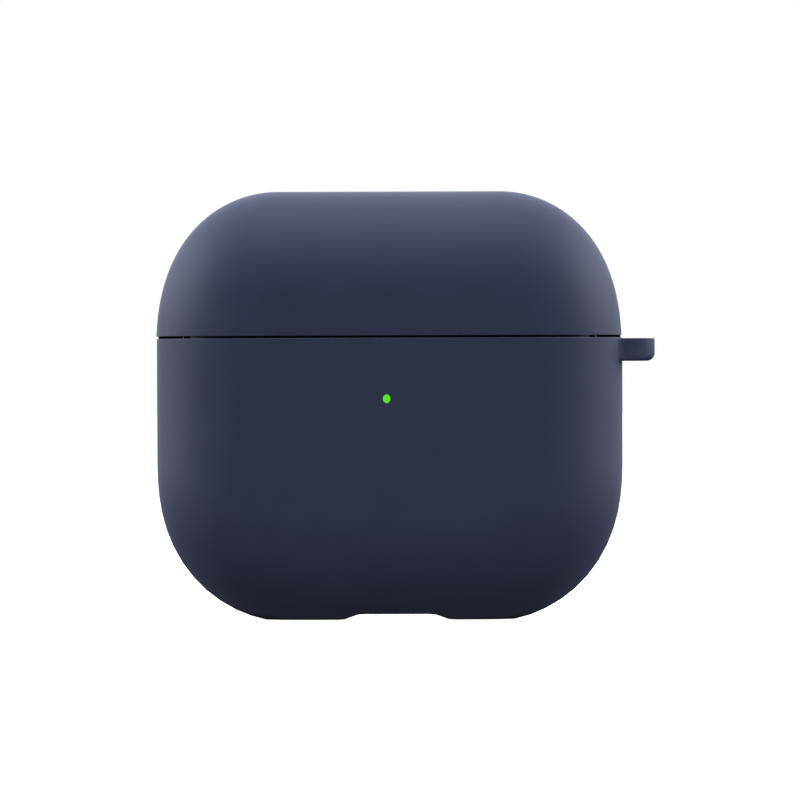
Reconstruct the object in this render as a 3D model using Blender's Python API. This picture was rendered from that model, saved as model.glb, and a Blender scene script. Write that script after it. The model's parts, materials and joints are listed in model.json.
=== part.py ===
"""Charging case for two stem-type wireless earbuds, wearing a two-piece silicone cover.

The case stands closed on its flat base. +Z is up, -Y is the front with the status light, and +X is the
side with the lanyard lug. The origin is the middle of the footprint of the whole object's box, so the
case's own middle plane lies half the lug's reach to the left of it. Pieces are laid out in the case's
own coordinates, with X from that middle plane, and hang from the empty "case_frame".

Every shell is the same form at another radius: a flat core outline, upright in XZ, swept by a ball.
"""

from math import cos, pi, radians, sin

import bmesh
import bpy
from mathutils import Matrix, Vector

MM = 0.001

# Outer form of the cover.
COVER_HALF_WIDTH = 26.55 * MM
COVER_HEIGHT = 48.8 * MM
COVER_RADIUS = 12.1 * MM  # of the swept ball, so also half the depth
BASE_TRIM = 0.5 * MM  # the flat base is cut this far into the rounding
TOP_CORNER = (1.8 * MM, 5.3 * MM, 2.0)  # semi-axes in X and Z and exponent of the core's corners
BASE_CORNER = (5.6 * MM, 7.6 * MM, 3.5)

# Nested shells: radius of the form, and height of its flat base.
COVER_INNER_RADIUS = 10.8 * MM
CASE_RADIUS = 10.6 * MM
CASE_INNER_RADIUS = 9.4 * MM
MOULDING_RADIUS = 9.1 * MM  # cradle and lid liner, inside the case
COVER_FLOOR = 1.5 * MM
CASE_BASE = 1.7 * MM
CASE_FLOOR = 2.9 * MM

# Parting line between the body and the lid.
SEAM_Z = 32.25 * MM
SEAM_GAP = 0.35 * MM
BODY_RIM = SEAM_Z - SEAM_GAP / 2
LID_RIM = SEAM_Z + SEAM_GAP / 2

# Lanyard lug on the +X side, flush with the body's rim.
LUG_REACH = 3.7 * MM
LUG_HEIGHT = 2.55 * MM
LUG_HALF_SPAN = 3.1 * MM
LUG_BAND = 1.3 * MM
LUG_EDGE_RADIUS = 0.9 * MM
LUG_HOLE_CLEARANCE = 0.2 * MM  # from the wall to the hole
LUG_ROOT_X = 25.3 * MM
LUG_STEPS = 12

# Status light in the front wall.
LIGHT_X = -0.3 * MM
LIGHT_Z = 25.2 * MM
LIGHT_HALF = (0.46 * MM, 0.53 * MM)  # the cover's oval hole, in X and Z
LIGHT_HOLE = 0.75 * MM  # the case's round hole
LIGHT_PIPE = 0.62 * MM
LIGHT_PIPE_FLANGE = 1.0 * MM
LIGHT_NOSE_HALF = (0.40 * MM, 0.47 * MM)  # the pipe's oval nose, inside the cover's hole
LIGHT_NOSE_RECESS = 0.2 * MM

# Charging port in the base, under a shallow scallop that runs from front to back.
PORT_X = 0.7 * MM
PORT_SLOT_CORNER = 1.5 * MM
PORT_SLOT_HALF = (5.5 * MM, 3.1 * MM)
SCALLOP_DEPTH = 0.65 * MM
SCALLOP_HALF_TOP = 3.9 * MM
SCALLOP_HALF_BASE = 6.4 * MM
SCALLOP_STEPS = 6
PORT_MOUTH = 2.0 * MM
PORT_BACK = 9.0 * MM
PORT_ROOT = 7.0 * MM
PORT_HOLE = (5.4 * MM, 2.55 * MM, 2.3 * MM)  # half length, half width and corner radius, as below
PORT_TRIM_OUTER = (5.2 * MM, 2.35 * MM, 2.3 * MM)
PORT_TRIM_INNER = (4.65 * MM, 1.78 * MM, 1.75 * MM)
PORT_OUTER = (4.47 * MM, 1.6 * MM, 1.55 * MM)
PORT_INNER = (4.17 * MM, 1.3 * MM, 1.25 * MM)
PORT_INSERT = (4.1 * MM, 1.2 * MM, 1.15 * MM)
PORT_TONGUE = (3.35 * MM, 0.35 * MM, 0.3 * MM)

# Lid hinge, an external barrel along X.
HINGE_Y = 11.2 * MM
HINGE_BARREL = 0.9 * MM
HINGE_PIN = 0.4 * MM
HINGE_PIN_INSET = 0.1 * MM  # from the barrel's ends
BODY_BORE_PLAY = 0.05 * MM
LID_BORE_PLAY = 0.1 * MM
HINGE_HALF = 12.9 * MM
HINGE_SPLIT = 6.0 * MM  # half length of the body's middle knuckle
HINGE_KNUCKLE_GAP = 0.3 * MM
LEAF_Y = (8.2 * MM, 8.8 * MM)
LEAF_GAP = 0.3 * MM  # between a leaf's arm and the parting line
BODY_LEAF_END = 25.0 * MM
LID_LEAF_Z = (33.6 * MM, 38.0 * MM)
LEAF_SLOT_GAP = 0.4 * MM
CASE_NOTCH_HALF = 13.3 * MM
CASE_NOTCH_HEIGHT = 1.2 * MM
COVER_NOTCH_HALF = 19.0 * MM
COVER_NOTCH_HEIGHT = 2.1 * MM
NOTCH_CORNER = 0.8 * MM
NOTCH_START = MOULDING_RADIUS - 0.9 * MM  # in front of every back wall
SPRING_HALF = 12.5 * MM
SPRING_Y = (9.2 * MM, 11.5 * MM)
SPRING_THICKNESS = 0.25 * MM
SPRING_TAB_HALF = 1.8 * MM
SPRING_TAB_Y = (9.0 * MM, 9.25 * MM)
SPRING_TAB_LOW = 26.0 * MM

# Hinge screws, two to each leaf: X from the middle and Z.
BODY_SCREW = (4.0 * MM, 27.5 * MM)
LID_SCREW = (2.2 * MM, 36.0 * MM)
SCREW_RADIUS = 0.45 * MM
SCREW_PILOT = 0.55 * MM
SCREW_CLEARANCE = 0.6 * MM
SCREW_HEAD = (0.95 * MM, 0.8 * MM)  # radius under the head and on its face
SCREW_HEAD_HEIGHT = 0.35 * MM
SCREW_TIP_Y = 5.5 * MM
SCREW_PILOT_Y = 5.2 * MM
SCREW_RECESS = (0.35 * MM, 0.15 * MM)  # radius, and how far its floor is from the leaf
BOSS_RADIUS = 1.3 * MM
BOSS_Y = 2.5 * MM

# Pairing button in the back wall.
BUTTON_Z = 17.0 * MM
BUTTON_RADIUS = 2.6 * MM
BUTTON_COVER_HOLE = 3.3 * MM
BUTTON_CLEARANCE = 0.15 * MM
BUTTON_FLANGE = (3.1 * MM, -1.9 * MM, -1.4 * MM)  # radius, and its two faces from the button's face
BUTTON_STEM = (0.8 * MM, -2.8 * MM)  # radius and end
BUTTON_EDGE = 0.2 * MM
SWITCH_HALF = 1.5 * MM
SWITCH_Y = (6.05 * MM, 7.15 * MM)
SWITCH_PLUNGER = (0.7 * MM, 7.0 * MM, 7.45 * MM)  # radius and the span in Y

# Earbud wells: a bowl for the head and a bore for the stem, one of each on either side.
WELL_X = 10.5 * MM
BOWL_CENTRE_Z = 32.2 * MM
BOWL_HALF = (7.8 * MM, 7.6 * MM, 9.0 * MM)
BOWL_WALL = 1.0 * MM
STEM_X = 16.0 * MM
STEM_BORE = 3.4 * MM
STEM_WALL = 0.9 * MM
STEM_FLOOR = (9.0 * MM, 10.0 * MM)
CRADLE_PLATE = (29.6 * MM, 31.4 * MM)
CRADLE_LIP_RADIUS = 8.5 * MM  # inside radius of the lip that stands up behind the parting line
CRADLE_LIP_TOP = 32.7 * MM
LINER_PLATE = (33.0 * MM, 34.2 * MM)
DOME_HALF = (8.6 * MM, 7.0 * MM, 10.6 * MM)
DOME_WALL = 0.9 * MM
WEB_HALF = 4.2 * MM  # the liner's web between its domes, which takes the lid leaf's screws
WEB_Y = 4.5 * MM
WEB_Z = (33.8 * MM, 38.0 * MM)
JOINED = 0.2 * MM  # how far shapes that are joined run into each other

# Sprung charging contacts in the floor of each stem bore.
CONTACT_SPACING = 1.2 * MM
CONTACT_TIP_Z = 10.9 * MM
CONTACT_BARREL = (7.6 * MM, 10.1 * MM)
CONTACT_BARREL_RADIUS = 0.75 * MM
CONTACT_BARREL_BORE = 0.5 * MM
CONTACT_BARREL_FLOOR = 0.3 * MM
CONTACT_HOLE = 0.9 * MM
CONTACT_PIN_RADIUS = 0.42 * MM
CONTACT_NOSE = 0.35 * MM  # length of its tapered nose
CONTACT_PIN_CLEARANCE = 1.3 * MM  # from the barrel's base to the pin's, which leaves room for the spring
CONTACT_BOARD_X = (9.2 * MM, 18.2 * MM)
CONTACT_BOARD_HALF_Y = 2.6 * MM
CONTACT_BOARD_Z = (6.9 * MM, 7.5 * MM)
CONTACT_FLEX_X = (9.3 * MM, 11.5 * MM)

# Magnets: the latch's pairs in the lid and the body, and one at each stem bore that draws the earbud in.
LATCH_X = (0.6 * MM, 5.6 * MM)
LATCH_Y = (-9.05 * MM, -7.55 * MM)
LID_LATCH_Z = (34.4 * MM, 37.2 * MM)
BODY_LATCH_Z = (26.9 * MM, 29.4 * MM)
MAGNET_EDGE = 0.15 * MM
BUD_MAGNET_X = 8.6 * MM
BUD_MAGNET_RADIUS = 2.2 * MM
BUD_MAGNET_Z = (19.9 * MM, 21.9 * MM)

# Strip of foam tape that holds the cover's cap to the lid.
TAPE_HALF = 8.0 * MM
TAPE_Z = (35.5 * MM, 36.6 * MM)
TAPE_GAP = 0.05 * MM

# Main board, upright behind the front wall.
BOARD_Y = (-8.3 * MM, -7.5 * MM)
BOARD_HALF = 11.0 * MM
BOARD_Z = (10.0 * MM, 21.0 * MM)
BOARD_TONGUE_HALF = 2.6 * MM
BOARD_TONGUE_TOP = 26.4 * MM
PART_GAP = 0.05 * MM  # between the board and what is on it
CHARGER_X = (-8.5 * MM, -5.3 * MM)
CHARGER_Z = (13.0 * MM, 16.2 * MM)
CHARGER_HEIGHT = 0.6 * MM
CAN_X = (1.5 * MM, 8.5 * MM)
CAN_Z = (12.2 * MM, 18.4 * MM)
CAN_HEIGHT = 0.8 * MM
CAN_EDGE = 0.2 * MM
SENSOR_X = (0.9 * MM, 2.1 * MM)
SENSOR_Z = (25.2 * MM, 26.1 * MM)
SMALL_PART_HEIGHT = 0.5 * MM
LED_HALF = (0.8 * MM, 0.4 * MM)
PORT_BOARD_X = (-7.8 * MM, 6.6 * MM)
PORT_BOARD_Y = (1.75 * MM, 2.35 * MM)
PORT_BOARD_Z = (4.0 * MM, 9.0 * MM)
PORT_FLEX_X = (-7.8 * MM, -5.6 * MM)

# Battery cell between the stem bores.
BATTERY_HALF_X = 10.25 * MM
BATTERY_Y = (-6.9 * MM, 5.5 * MM)
BATTERY_Z = (9.6 * MM, 19.4 * MM)
BATTERY_EDGE = 0.8 * MM

FLEX_THICKNESS = 0.2 * MM
FLEX_BEND = 0.8 * MM
FLEX_TOP = 12.5 * MM
FLEX_START = 2.2 * MM
BUTTON_FLEX_ENDS = (14.5 * MM, 16.0 * MM)
CORNER_STEPS = 8
DEPTH_STEPS = 10
ROUND_STEPS = 20
FINE_STEPS = 16
SMALL_STEPS = 12
SCREW_STEPS = 10
OVERSHOOT = 3.0 * MM  # how far a cutter runs past the wall it cuts


# ---------------------------------------------------------------- materials


def make_material(name, colour, roughness, metallic=0.0):
    material = bpy.data.materials.new(name)
    material.use_nodes = True
    shader = material.node_tree.nodes["Principled BSDF"]
    shader.inputs["Base Color"].default_value = (*colour, 1.0)
    shader.inputs["Roughness"].default_value = roughness
    shader.inputs["Metallic"].default_value = metallic
    return material


def make_materials():
    return {
        "silicone": make_material("navy_silicone", (0.026, 0.031, 0.060), 0.62),
        "case": make_material("black_plastic", (0.020, 0.020, 0.022), 0.22),
        "steel": make_material("polished_steel", (0.62, 0.62, 0.63), 0.25, 1.0),
        "spring": make_material("spring_steel", (0.50, 0.50, 0.51), 0.32, 1.0),
        "magnet": make_material("nickel_plated_magnet", (0.56, 0.55, 0.52), 0.30, 1.0),
        "gold": make_material("gold_plating", (0.83, 0.61, 0.25), 0.28, 1.0),
        "board": make_material("circuit_board", (0.02, 0.09, 0.05), 0.45),
        "flex": make_material("polyimide_flex", (0.42, 0.16, 0.02), 0.40),
        "chip": make_material("chip_resin", (0.02, 0.02, 0.022), 0.55),
        "pouch": make_material("battery_pouch", (0.55, 0.56, 0.58), 0.38, 1.0),
        "clear": make_material("clear_light_guide", (0.10, 0.85, 0.05), 0.15),
        "adhesive": make_material("adhesive_foam", (0.75, 0.75, 0.73), 0.85),
    }


# ---------------------------------------------------------------- placing


def make_empty(name, parent=None, at=(0.0, 0.0, 0.0)):
    empty = bpy.data.objects.new(name, None)
    bpy.context.scene.collection.objects.link(empty)
    empty.parent = parent
    empty.location = at
    return empty


def offset_from(frame):
    """Where a frame's empty stands in the case's coordinates."""
    return Vector() if frame.parent is None else Vector(frame.location)


def add_piece(name, bm, material, frame, at=(0.0, 0.0, 0.0)):
    """An object whose mesh is bm, placed at a point in the case's coordinates and carried by a frame."""
    bmesh.ops.recalc_face_normals(bm, faces=bm.faces)
    mesh = bpy.data.meshes.new(name)
    bm.to_mesh(mesh)
    bm.free()
    mesh.shade_smooth()
    mesh.set_sharp_from_angle(angle=radians(35))
    mesh.materials.append(material)
    piece = bpy.data.objects.new(name, mesh)
    bpy.context.scene.collection.objects.link(piece)
    piece.parent = frame
    piece.location = Vector(at) - offset_from(frame)
    return piece


def combine(piece, operation, bm, at=(0.0, 0.0, 0.0)):
    """Adds (UNION) a shape to a piece or takes it away (DIFFERENCE). The shape stays as a hidden helper."""
    frame = piece.parent
    name = f"{piece.name}_{operation.lower()}_{len(piece.modifiers)}"
    helper = add_piece(name, bm, piece.data.materials[0], frame, at)
    helper.hide_render = True
    helper.display_type = "WIRE"
    modifier = piece.modifiers.new(name, "BOOLEAN")
    modifier.operation = operation
    modifier.solver = "EXACT"
    modifier.object = helper
    return piece


# ---------------------------------------------------------------- shapes


def loft(rings, cyclic=False):
    """A closed solid through rings of the same number of points. Its ends are capped, unless it is cyclic."""
    bm = bmesh.new()
    loops = [[bm.verts.new(point) for point in ring] for ring in rings]
    pairs = list(zip(loops, loops[1:]))
    if cyclic:
        pairs.append((loops[-1], loops[0]))
    for lower, upper in pairs:
        count = len(lower)
        for i in range(count):
            j = (i + 1) % count
            bm.faces.new((lower[i], lower[j], upper[j], upper[i]))
    if not cyclic:
        bm.faces.new(loops[0])
        bm.faces.new(reversed(loops[-1]))
    return bm


def block(x, y, z):
    """A box between two values on each axis."""
    bm = bmesh.new()
    size = Vector((x[1] - x[0], y[1] - y[0], z[1] - z[0]))
    centre = Vector((x[0] + x[1], y[0] + y[1], z[0] + z[1])) / 2
    matrix = Matrix.Translation(centre) @ Matrix.Diagonal((*size, 1.0))
    bmesh.ops.create_cube(bm, size=1.0, matrix=matrix)
    return bm


def soft_block(x, y, z, radius):
    """A box with all its edges rounded."""
    bm = block(x, y, z)
    bmesh.ops.bevel(bm, geom=bm.edges[:], offset=radius, segments=2, profile=0.5, affect="EDGES")
    return bm


def ellipsoid(centre, half, steps=ROUND_STEPS):
    bm = bmesh.new()
    matrix = Matrix.Translation(centre) @ Matrix.Diagonal((*half, 1.0))
    bmesh.ops.create_uvsphere(bm, u_segments=steps, v_segments=steps // 2, radius=1.0, matrix=matrix)
    return bm


def oval(half_u, half_v, steps=FINE_STEPS):
    return [(half_u * cos(2 * pi * i / steps), half_v * sin(2 * pi * i / steps)) for i in range(steps)]


def circle(radius, steps=FINE_STEPS):
    return oval(radius, radius, steps)


def rounded_rectangle(half_u, half_v, radius, steps=4):
    points = []
    for quadrant, (sign_u, sign_v) in enumerate(((1, 1), (-1, 1), (-1, -1), (1, -1))):
        for step in range(steps + 1):
            angle = (quadrant + step / steps) * pi / 2
            u = sign_u * (half_u - radius) + radius * cos(angle)
            v = sign_v * (half_v - radius) + radius * sin(angle)
            points.append((u, v))
    return points


def on_axis(axis, outline, along):
    """An outline's points in space: (u, v) are the two other axes in XYZ order."""
    if axis == "X":
        return [(along, u, v) for u, v in outline]
    if axis == "Y":
        return [(u, along, v) for u, v in outline]
    return [(u, v, along) for u, v in outline]


def prism(axis, outline, low, high):
    return loft([on_axis(axis, outline, low), on_axis(axis, outline, high)])


def turned(axis, profile, steps=FINE_STEPS, cyclic=False):
    """A turned solid from (radius, place along the axis) pairs. A cyclic profile leaves a bore through it."""
    return loft([on_axis(axis, circle(radius, steps), along) for radius, along in profile], cyclic)


def moved(bm, offset):
    bmesh.ops.translate(bm, vec=offset, verts=bm.verts)
    return bm


def strip(path, thickness, x):
    """A bent sheet: a path of (y, z) points, thickened to its left and extruded along X."""
    left = []
    for i, point in enumerate(path):
        before = Vector(path[max(i - 1, 0)])
        after = Vector(path[min(i + 1, len(path) - 1)])
        here = Vector(point)
        normals = []
        for start, end in ((before, here), (here, after)):
            if (end - start).length > 0:
                run = (end - start).normalized()
                normals.append(Vector((-run.y, run.x)))
        mean = sum(normals, Vector((0, 0))).normalized()
        left.append(here + mean * thickness / mean.dot(normals[0]))
    outline = [tuple(point) for point in path] + [tuple(point) for point in reversed(left)]
    return prism("X", outline, *x)


# ---------------------------------------------------------------- the case's form


def core_loop():
    """Points and outward normals once round the flat core outline, in XZ, the same for every radius."""
    half_x = COVER_HALF_WIDTH - COVER_RADIUS
    top = COVER_HEIGHT - COVER_RADIUS
    base = COVER_RADIUS - BASE_TRIM
    loop = []
    for quadrant, (side, up) in enumerate(((1, 1), (-1, 1), (-1, -1), (1, -1))):
        a, b, exponent = TOP_CORNER if up > 0 else BASE_CORNER
        dual = exponent / (exponent - 1)
        centre = Vector((side * (half_x - a), top - b if up > 0 else base + b))
        for step in range(CORNER_STEPS + 1):
            angle = (quadrant + step / CORNER_STEPS) * pi / 2
            normal = Vector((cos(angle), sin(angle)))
            c, s = abs(normal.x), abs(normal.y)
            support = ((a * c) ** dual + (b * s) ** dual) ** (1 / dual)
            corner_x = a**dual * c ** (dual - 1) * support ** (1 - dual)
            corner_z = b**dual * s ** (dual - 1) * support ** (1 - dual)
            loop.append((centre + Vector((side * corner_x, up * corner_z)), normal))
    return loop


def form(radius, flat_base):
    """The case's closed form at one radius, with its base cut flat."""
    rings = []
    for step in range(DEPTH_STEPS + 1):
        angle = pi * step / DEPTH_STEPS
        ring = [point + normal * radius * sin(angle) for point, normal in core_loop()]
        rings.append([(p.x, -radius * cos(angle), p.y) for p in ring])
    bm = loft(rings)
    bmesh.ops.remove_doubles(bm, verts=bm.verts, dist=0.001 * MM)
    bmesh.ops.recalc_face_normals(bm, faces=bm.faces)
    return cut_flat(bm, flat_base, keep_above=True, capped=True)


def cut_flat(bm, height, keep_above, capped):
    """Cuts a shape at a height and keeps one side of it."""
    bmesh.ops.bisect_plane(
        bm,
        geom=bm.verts[:] + bm.edges[:] + bm.faces[:],
        dist=0.0001 * MM,
        plane_co=(0, 0, height),
        plane_no=(0, 0, -1 if keep_above else 1),
        clear_outer=True,
    )
    if capped:
        bmesh.ops.holes_fill(bm, edges=[edge for edge in bm.edges if edge.is_boundary], sides=0)
    return bm


def slab(radius, low, high):
    """A level slice of the case's form."""
    bm = form(radius, low)
    return cut_flat(bm, high, keep_above=False, capped=True)


def shell(outer_radius, outer_base, inner_radius, inner_base, rim, is_lid):
    """The body's cup or the lid's cap: the form at two radii, joined along the rim."""
    bm = cut_flat(form(outer_radius, outer_base), rim, keep_above=is_lid, capped=False)
    inner = cut_flat(form(inner_radius, inner_base), rim, keep_above=is_lid, capped=False)
    bmesh.ops.reverse_faces(inner, faces=inner.faces)
    mesh = bpy.data.meshes.new("inner_wall")
    inner.to_mesh(mesh)
    inner.free()
    bm.from_mesh(mesh)
    bpy.data.meshes.remove(mesh)
    bmesh.ops.bridge_loops(bm, edges=[edge for edge in bm.edges if edge.is_boundary])
    return bm


# ---------------------------------------------------------------- silicone cover


def hinge_notch(half_width, height, rim, is_lid):
    """What the hinge's notch takes out of a back wall, from the rim inwards."""
    top = rim + height if is_lid else rim + OVERSHOOT
    low = rim - OVERSHOOT if is_lid else rim - height
    middle, half_height = (top + low) / 2, (top - low) / 2
    outline = [(x, z + middle) for x, z in rounded_rectangle(half_width, half_height, NOTCH_CORNER)]
    return prism("Y", outline, NOTCH_START, COVER_RADIUS + OVERSHOOT)


def scallop():
    """The shallow channel under the base, with sides that ease in and out."""
    flank = []
    for step in range(SCALLOP_STEPS + 1):
        share = step / SCALLOP_STEPS
        x = SCALLOP_HALF_BASE + (SCALLOP_HALF_TOP - SCALLOP_HALF_BASE) * share
        flank.append((x, SCALLOP_DEPTH * (1 - cos(pi * share)) / 2))
    right = [(PORT_X + x, z) for x, z in flank]
    left = [(PORT_X - x, z) for x, z in reversed(flank)]
    foot = [(left[-1][0], -OVERSHOOT), (right[0][0], -OVERSHOOT)]
    return prism("Y", right + left + foot, -COVER_RADIUS, COVER_RADIUS)


def lug():
    """A half-round loop that lies level, flat on top and rounded underneath."""
    reach = COVER_HALF_WIDTH + LUG_REACH - LUG_ROOT_X
    low = BODY_RIM - LUG_HEIGHT

    def plan(inset):
        angles = [pi * (step / LUG_STEPS - 0.5) for step in range(LUG_STEPS + 1)]
        curve = [((reach - inset) * cos(a), (LUG_HALF_SPAN - inset) * sin(a)) for a in angles]
        return [(LUG_ROOT_X + x, y) for x, y in curve]

    rings = []
    for step in range(4):
        angle = step / 3 * pi / 2
        inset = LUG_EDGE_RADIUS * (1 - sin(angle))
        rings.append(on_axis("Z", plan(inset), low + LUG_EDGE_RADIUS * (1 - cos(angle))))
    rings.append(on_axis("Z", plan(0), BODY_RIM))
    return loft(rings)


def lug_hole():
    """The way through the loop, from the cover's own wall outwards."""
    reach = COVER_HALF_WIDTH + LUG_REACH - LUG_BAND
    half = LUG_HALF_SPAN - LUG_BAND
    side = COVER_HALF_WIDTH + LUG_HOLE_CLEARANCE
    arc = [pi * (step / LUG_STEPS - 0.5) for step in range(LUG_STEPS + 1)]
    return prism("Z", [(side + (reach - side) * cos(a), half * sin(a)) for a in arc], 0.0, COVER_HEIGHT)


def build_cover(frame, lid_frame, materials):
    silicone = materials["silicone"]
    body = add_piece(
        "cover_body",
        shell(COVER_RADIUS, 0.0, COVER_INNER_RADIUS, COVER_FLOOR, BODY_RIM, is_lid=False),
        silicone,
        frame,
    )
    combine(body, "UNION", lug())
    combine(body, "DIFFERENCE", lug_hole())
    combine(body, "DIFFERENCE", scallop())
    slot = [(PORT_X + x, y) for x, y in rounded_rectangle(*PORT_SLOT_HALF, PORT_SLOT_CORNER)]
    combine(body, "DIFFERENCE", prism("Z", slot, -OVERSHOOT, OVERSHOOT))
    light_cut = prism("Y", oval(*LIGHT_HALF), -COVER_RADIUS - OVERSHOOT, -CASE_INNER_RADIUS)
    combine(body, "DIFFERENCE", light_cut, (LIGHT_X, 0, LIGHT_Z))
    button = circle(BUTTON_COVER_HOLE, ROUND_STEPS)
    button_cut = prism("Y", button, CASE_INNER_RADIUS, COVER_RADIUS + OVERSHOOT)
    combine(body, "DIFFERENCE", button_cut, (0, 0, BUTTON_Z))
    combine(body, "DIFFERENCE", hinge_notch(COVER_NOTCH_HALF, COVER_NOTCH_HEIGHT, BODY_RIM, is_lid=False))

    lid = add_piece(
        "cover_lid",
        shell(COVER_RADIUS, 0.0, COVER_INNER_RADIUS, COVER_FLOOR, LID_RIM, is_lid=True),
        silicone,
        lid_frame,
    )
    combine(lid, "DIFFERENCE", hinge_notch(COVER_NOTCH_HALF, COVER_NOTCH_HEIGHT, LID_RIM, is_lid=True))

    pad_y = (-COVER_INNER_RADIUS + TAPE_GAP, -CASE_RADIUS - TAPE_GAP)
    pad = block((-TAPE_HALF, TAPE_HALF), pad_y, TAPE_Z)
    add_piece("lid_adhesive_pad", pad, materials["adhesive"], lid_frame)


# ---------------------------------------------------------------- case mouldings


def build_shells(frame, lid_frame, materials):
    body = add_piece(
        "case_shell",
        shell(CASE_RADIUS, CASE_BASE, CASE_INNER_RADIUS, CASE_FLOOR, BODY_RIM, is_lid=False),
        materials["case"],
        frame,
    )
    port = [(PORT_X + x, y) for x, y in rounded_rectangle(*PORT_HOLE)]
    combine(body, "DIFFERENCE", prism("Z", port, 0.0, CASE_FLOOR + OVERSHOOT))
    light = prism("Y", circle(LIGHT_HOLE), -CASE_RADIUS - OVERSHOOT, -CASE_INNER_RADIUS + OVERSHOOT)
    combine(body, "DIFFERENCE", light, (LIGHT_X, 0, LIGHT_Z))
    button = circle(BUTTON_RADIUS + BUTTON_CLEARANCE, ROUND_STEPS)
    button_cut = prism("Y", button, CASE_INNER_RADIUS - OVERSHOOT, CASE_RADIUS + OVERSHOOT)
    combine(body, "DIFFERENCE", button_cut, (0, 0, BUTTON_Z))
    combine(body, "DIFFERENCE", hinge_notch(CASE_NOTCH_HALF, CASE_NOTCH_HEIGHT, BODY_RIM, is_lid=False))

    lid = add_piece(
        "lid_shell",
        shell(CASE_RADIUS, CASE_BASE, CASE_INNER_RADIUS, CASE_FLOOR, LID_RIM, is_lid=True),
        materials["case"],
        lid_frame,
    )
    combine(lid, "DIFFERENCE", hinge_notch(CASE_NOTCH_HALF, CASE_NOTCH_HEIGHT, LID_RIM, is_lid=True))


def grown(half, wall):
    return tuple(value + wall for value in half)


def build_cradle(frame, materials):
    """The tray that closes the body: a plate with two bowls, two stem tubes and two screw bosses.

    A lip round its edge stands up into the lid, so that no gap shows through the parting line.
    """
    plate_low, plate_high = CRADLE_PLATE
    tray = slab(MOULDING_RADIUS, plate_low, CRADLE_LIP_TOP)
    cradle = add_piece("cradle", tray, materials["case"], frame)
    combine(cradle, "DIFFERENCE", slab(CRADLE_LIP_RADIUS, plate_high, CRADLE_LIP_TOP + OVERSHOOT))
    stem_low, stem_floor = STEM_FLOOR
    screw_x, screw_z = BODY_SCREW
    sides = (-1, 1)
    for side in sides:
        bowl = ellipsoid((side * WELL_X, 0, BOWL_CENTRE_Z), grown(BOWL_HALF, BOWL_WALL))
        cut_flat(bowl, plate_high - JOINED, keep_above=False, capped=True)
        combine(cradle, "UNION", bowl)
        stem = prism("Z", circle(STEM_BORE + STEM_WALL, ROUND_STEPS), stem_low, plate_low + 0.5 * MM)
        combine(cradle, "UNION", stem, (side * STEM_X, 0, 0))
        boss = prism("Y", circle(BOSS_RADIUS), BOSS_Y, LEAF_Y[0] - JOINED)
        combine(cradle, "UNION", boss, (side * screw_x, 0, screw_z))
    for side in sides:
        combine(cradle, "DIFFERENCE", ellipsoid((side * WELL_X, 0, BOWL_CENTRE_Z), BOWL_HALF))
        bore = prism("Z", circle(STEM_BORE, ROUND_STEPS), stem_floor, BODY_RIM)
        combine(cradle, "DIFFERENCE", bore, (side * STEM_X, 0, 0))
        screw_hole = prism("Y", circle(SCREW_PILOT, SCREW_STEPS), SCREW_PILOT_Y, CASE_RADIUS)
        combine(cradle, "DIFFERENCE", screw_hole, (side * screw_x, 0, screw_z))
        for end in sides:
            barrel_hole = prism("Z", circle(CONTACT_HOLE, SMALL_STEPS), 0.0, stem_floor + 1 * MM)
            combine(cradle, "DIFFERENCE", barrel_hole, (side * STEM_X, end * CONTACT_SPACING, 0))
    slot_y = (LEAF_Y[0] - 0.3 * MM, COVER_RADIUS)
    slot_half = HINGE_SPLIT + LEAF_SLOT_GAP
    leaf_slot = block((-slot_half, slot_half), slot_y, (plate_low - OVERSHOOT, plate_high + OVERSHOOT))
    combine(cradle, "DIFFERENCE", leaf_slot)
    slot_half = HINGE_HALF + LEAF_SLOT_GAP
    lip_y = (MOULDING_RADIUS / 2, COVER_RADIUS)
    lip_gap = block((-slot_half, slot_half), lip_y, (plate_high + 0.05 * MM, plate_high + OVERSHOOT))
    combine(cradle, "DIFFERENCE", lip_gap)


def build_liner(lid_frame, materials):
    """The lid's inner moulding: a plate with two domes over the earbuds' heads."""
    liner = add_piece("lid_liner", slab(MOULDING_RADIUS, *LINER_PLATE), materials["case"], lid_frame)
    sides = (-1, 1)
    for side in sides:
        dome = ellipsoid((side * WELL_X, 0, LINER_PLATE[0]), grown(DOME_HALF, DOME_WALL))
        cut_flat(dome, LINER_PLATE[0] + JOINED, keep_above=True, capped=True)
        combine(liner, "UNION", dome)
    web = block((-WEB_HALF, WEB_HALF), (WEB_Y, LEAF_Y[0] - JOINED), WEB_Z)
    combine(liner, "UNION", web)
    for side in sides:
        combine(liner, "DIFFERENCE", ellipsoid((side * WELL_X, 0, LINER_PLATE[0]), DOME_HALF))
        screw_x, screw_z = LID_SCREW
        screw_hole = prism("Y", circle(SCREW_PILOT, SCREW_STEPS), SCREW_PILOT_Y, CASE_RADIUS)
        combine(liner, "DIFFERENCE", screw_hole, (side * screw_x, 0, screw_z))
    leaf_slot = block(
        (-HINGE_HALF - LEAF_SLOT_GAP, HINGE_HALF + LEAF_SLOT_GAP),
        (LEAF_Y[0] - 0.25 * MM, COVER_RADIUS),
        (LINER_PLATE[0] - OVERSHOOT, LINER_PLATE[1] + 0.15 * MM),
    )
    combine(liner, "DIFFERENCE", leaf_slot)


# ---------------------------------------------------------------- hinge


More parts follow.
